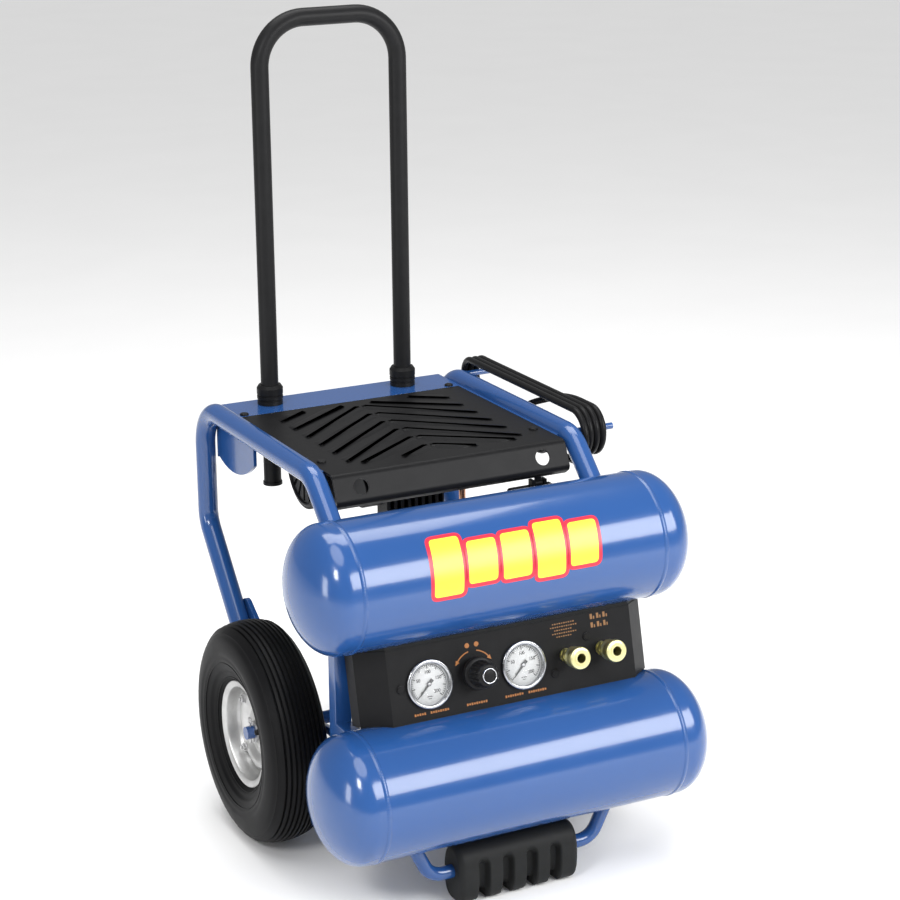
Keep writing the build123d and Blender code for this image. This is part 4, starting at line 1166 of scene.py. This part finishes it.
# the lead climbs beside the hank and joins its outermost strand
CLIMB = [(205.6, 133.0, 467.0), (208.6, 110.0, 480.0), (213.6, 84.0, 489.6), (215.2, 52.0, 501.5)]
COIL_TURNS = 4
COIL_FRONT_Y, COIL_REAR_Y, COIL_Z, COIL_BEND = -25.0, 240.0, 479.0, 28.0
STRAND_PITCH = 8.8
OUTER_STRAND_X = 215.4
PLUG_X, PLUG_BACK_Y, PLUG_Z = 206.0, 60.0, 433.25
FOLD_POINTS = 6
TOP_STOPS = (200.0, 150.0, 100.0, 50.0, 10.0)
BOTTOM_STOPS = (10.0, 40.0, 67.0, 93.0, 119.0, 145.0, 171.0, 197.0, 215.0)
PARTING_LENGTH, PARTING_OUT, PARTING_IN = 78.0, 7.2, 1.8
LAST_BEND = 32.25
TAIL_STEPS = 6
GRIP_OUTLINE = (
    (0.0, 4.4), (0.0, 6.2), (1.6, 6.6), (2.2, 6.0), (3.8, 6.1), (4.4, 7.2), (6.0, 7.4), (6.6, 6.6),
    (8.2, 6.8), (8.8, 8.2), (10.4, 8.4), (11.2, 8.2), (14.0, 10.4), (18.0, 12.2), (22.0, 12.8),
    (33.0, 12.9), (35.2, 12.4), (36.0, 11.4), (36.0, 0.0),
)
BLADE_LENGTH, BLADE_HALF_WIDTH, BLADE_HALF_THICK, BLADE_ROOT = 19, 3, 0.8, 35.5
PIN_OUTLINE = ((0, 2.4), (17, 2.4), (19.5, 1.6), (20.4, 0))
BOOT_OUTLINE = (
    (0.0, 8.4), (1.2, 8.6), (2.0, 7.4), (4.0, 7.2), (4.6, 8.0), (6.2, 7.9), (6.8, 6.8), (8.8, 6.6),
    (9.4, 7.3), (11.0, 7.2), (11.6, 6.2), (13.6, 6.0), (14.2, 6.7), (15.8, 6.5), (16.4, 5.6),
    (19.0, 5.4), (21.6, 5.2), (22.0, 4.7), (22.0, 4.3),
)
BOOT_X = 132.1


def fold(y, z, bend, front, start_x, end_x):
    """Half turn of the hank; the control points lie on the polygon round the arc."""
    reach = bend / cos(pi / FOLD_POINTS / 2)
    points = []
    for index in range(FOLD_POINTS):
        share = (index + 0.5) / FOLD_POINTS
        angle = pi * share
        x = start_x + (end_x - start_x) * share
        if front:
            points.append((x, y - reach * sin(angle), z + reach * cos(angle)))
        else:
            points.append((x, y + reach * sin(angle), z - reach * cos(angle)))
    return points


def aside(x, y):
    """Strands under the hank part round the lead where it comes up between them."""
    away = abs(y - LEAD_Y)
    if away >= PARTING_LENGTH:
        return x
    spread = max(0.0, cos(away / PARTING_LENGTH * pi / 2)) ** 2
    return x + (PARTING_OUT if x > LEAD_X else -PARTING_IN) * spread


def cord_points():
    """Control points of the whole cord: lead, climb, hank and tail."""
    lead_in = tan(pi / FOLD_POINTS / 2) * COIL_BEND
    top, bottom = COIL_Z + COIL_BEND, COIL_Z - COIL_BEND
    points = LEAD_ROUTE + CLIMB + [(OUTER_STRAND_X, 18.0, top)]
    for turn in range(COIL_TURNS):
        x = OUTER_STRAND_X - turn * STRAND_PITCH
        if turn:
            for y in TOP_STOPS:
                points.append((x, y, top))
        points.append((x, COIL_FRONT_Y + lead_in, top))
        if turn == COIL_TURNS - 1:
            break
        points += fold(COIL_FRONT_Y, COIL_Z, COIL_BEND, True, x, x)
        points.append((x, COIL_FRONT_Y + lead_in, bottom))
        for y in BOTTOM_STOPS:
            points.append((aside(x, y), y, bottom))
        points.append((x, COIL_REAR_Y - lead_in, bottom))
        points += fold(COIL_REAR_Y, COIL_Z, COIL_BEND, False, x, x - STRAND_PITCH)
        points.append((x - STRAND_PITCH, COIL_REAR_Y - lead_in, top))
    last_x = OUTER_STRAND_X - (COIL_TURNS - 1) * STRAND_PITCH
    points += fold(COIL_FRONT_Y, top - LAST_BEND, LAST_BEND, True, last_x, last_x)
    tail_start = COIL_FRONT_Y + tan(pi / FOLD_POINTS / 2) * LAST_BEND
    tail_z = top - 2 * LAST_BEND
    tail_length = PLUG_BACK_Y - 8 - tail_start
    for step in range(TAIL_STEPS + 1):
        share = step / TAIL_STEPS
        ease = share * share * (3 - 2 * share)
        points.append((last_x + (PLUG_X - last_x) * ease, tail_start + tail_length * share,
                       tail_z + (PLUG_Z - tail_z) * ease))
    points.append((PLUG_X, PLUG_BACK_Y, PLUG_Z))
    return points


def sampled_length(curve_object):
    """Length of the finished curve, from its evaluated shape."""
    bare = curve_object.data.copy()
    bare.bevel_depth = 0
    probe = bpy.data.objects.new("length_probe", bare)
    bpy.context.scene.collection.objects.link(probe)
    graph = bpy.context.evaluated_depsgraph_get()
    mesh = probe.evaluated_get(graph).to_mesh()
    total = 0.0
    for edge in mesh.edges:
        first, second = edge.vertices
        total += (mesh.vertices[first].co - mesh.vertices[second].co).length
    probe.evaluated_get(graph).to_mesh_clear()
    bpy.data.objects.remove(probe)
    return total


def plug_blade(index, x):
    """Flat blade with rounded corners, standing out of the plug's face."""
    outline = rounded([(0, -BLADE_HALF_WIDTH, 0), (BLADE_LENGTH, -BLADE_HALF_WIDTH, 0),
                       (BLADE_LENGTH, BLADE_HALF_WIDTH, 0), (0, BLADE_HALF_WIDTH, 0)], 1.6, 3)
    vertices = []
    for offset in (-BLADE_HALF_THICK, BLADE_HALF_THICK):
        for point in outline:
            place = Vector((x + offset, PLUG_BACK_Y + BLADE_ROOT + point.x, PLUG_Z + point.y))
            vertices.append(place * MM)
    count = len(outline)
    faces = [tuple(range(count)), tuple(range(2 * count - 1, count - 1, -1))]
    faces += [(i, (i + 1) % count, count + (i + 1) % count, count + i) for i in range(count)]
    mesh = solid_mesh(f"plug_blade_{index}", vertices, faces, smooth=False)
    trim(mesh.name, mesh, BRASS, "frame")


def plug_piece():
    """Moulded plug: ribbed boot, grip body, face, two blades and a round ground pin."""
    centre = Vector((PLUG_X, PLUG_BACK_Y, PLUG_Z)) * MM
    body = lathe("plug_body", in_metres(GRIP_OUTLINE), centre, (0, 1, 0), 64)
    body.set_sharp_from_angle(angle=radians(40))
    plug = stand_for("plug_body", body, BLACK_PLASTIC, "plug")
    for index, x in enumerate((PLUG_X - 7, PLUG_X + 7)):
        plug_blade(index, x)
    pin_root = Vector((PLUG_X, PLUG_BACK_Y + BLADE_ROOT, PLUG_Z - 8)) * MM
    pin = lathe("plug_ground_pin", in_metres(PIN_OUTLINE), pin_root, (0, 1, 0), 32)
    trim("plug_ground_pin", pin, BRASS, "frame")
    return plug


def power_cord():
    """One spline from the strain relief round the hank to the plug."""
    route = cord_points()
    curve = bpy.data.curves.new("power_cord", "CURVE")
    curve.dimensions = "3D"
    curve.bevel_depth = CORD / 2 * MM
    curve.bevel_resolution = 6
    curve.resolution_u = 10
    curve.use_fill_caps = True
    spline = curve.splines.new("NURBS")
    spline.points.add(len(route) - 1)
    for knot, place in zip(spline.points, route):
        knot.co = (*(Vector(place) * MM), 1)
    spline.order_u = 3
    spline.use_endpoint_u = True
    cord = bpy.data.objects.new("power_cord", curve)
    bpy.context.scene.collection.objects.link(cord)
    curve.materials.append(JACKET)
    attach(cord, "frame")
    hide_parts("cord_lead", "cord_coil")
    plug = plug_piece()
    boot_start = Vector((BOOT_X, LEAD_Y, LEAD_Z)) * MM
    relief = lathe("cord_boot", in_metres(BOOT_OUTLINE), boot_start, (1, 0, 0), 48)
    relief.set_sharp_from_angle(angle=radians(45))
    stand_for("cord_boot", relief, BLACK_PLASTIC, "strain_relief")
    length = round(sampled_length(cord), 3)


def floor():
    """Pale paper floor, not attached to any body of the object."""
    bpy.ops.mesh.primitive_plane_add(size=30, location=(0, 0, 0))
    ground = bpy.context.object
    ground.name = "studio_floor"
    paper = Finish("studio_paper")
    mottle = paper.noise(4.0, 3.0)
    paper.set("Base Color", paper.blend(mottle, (0.93, 0.93, 0.93), (0.96, 0.96, 0.96)))
    paper.set("Roughness", paper.spread(mottle, 0.75, 0.85))
    ground.data.materials.append(paper.done())


power_cord()
tanks()
decal()
tubes()
deck()
wheels()
foot()
panel()
machinery()
floor()
bpy.context.view_layer.update()
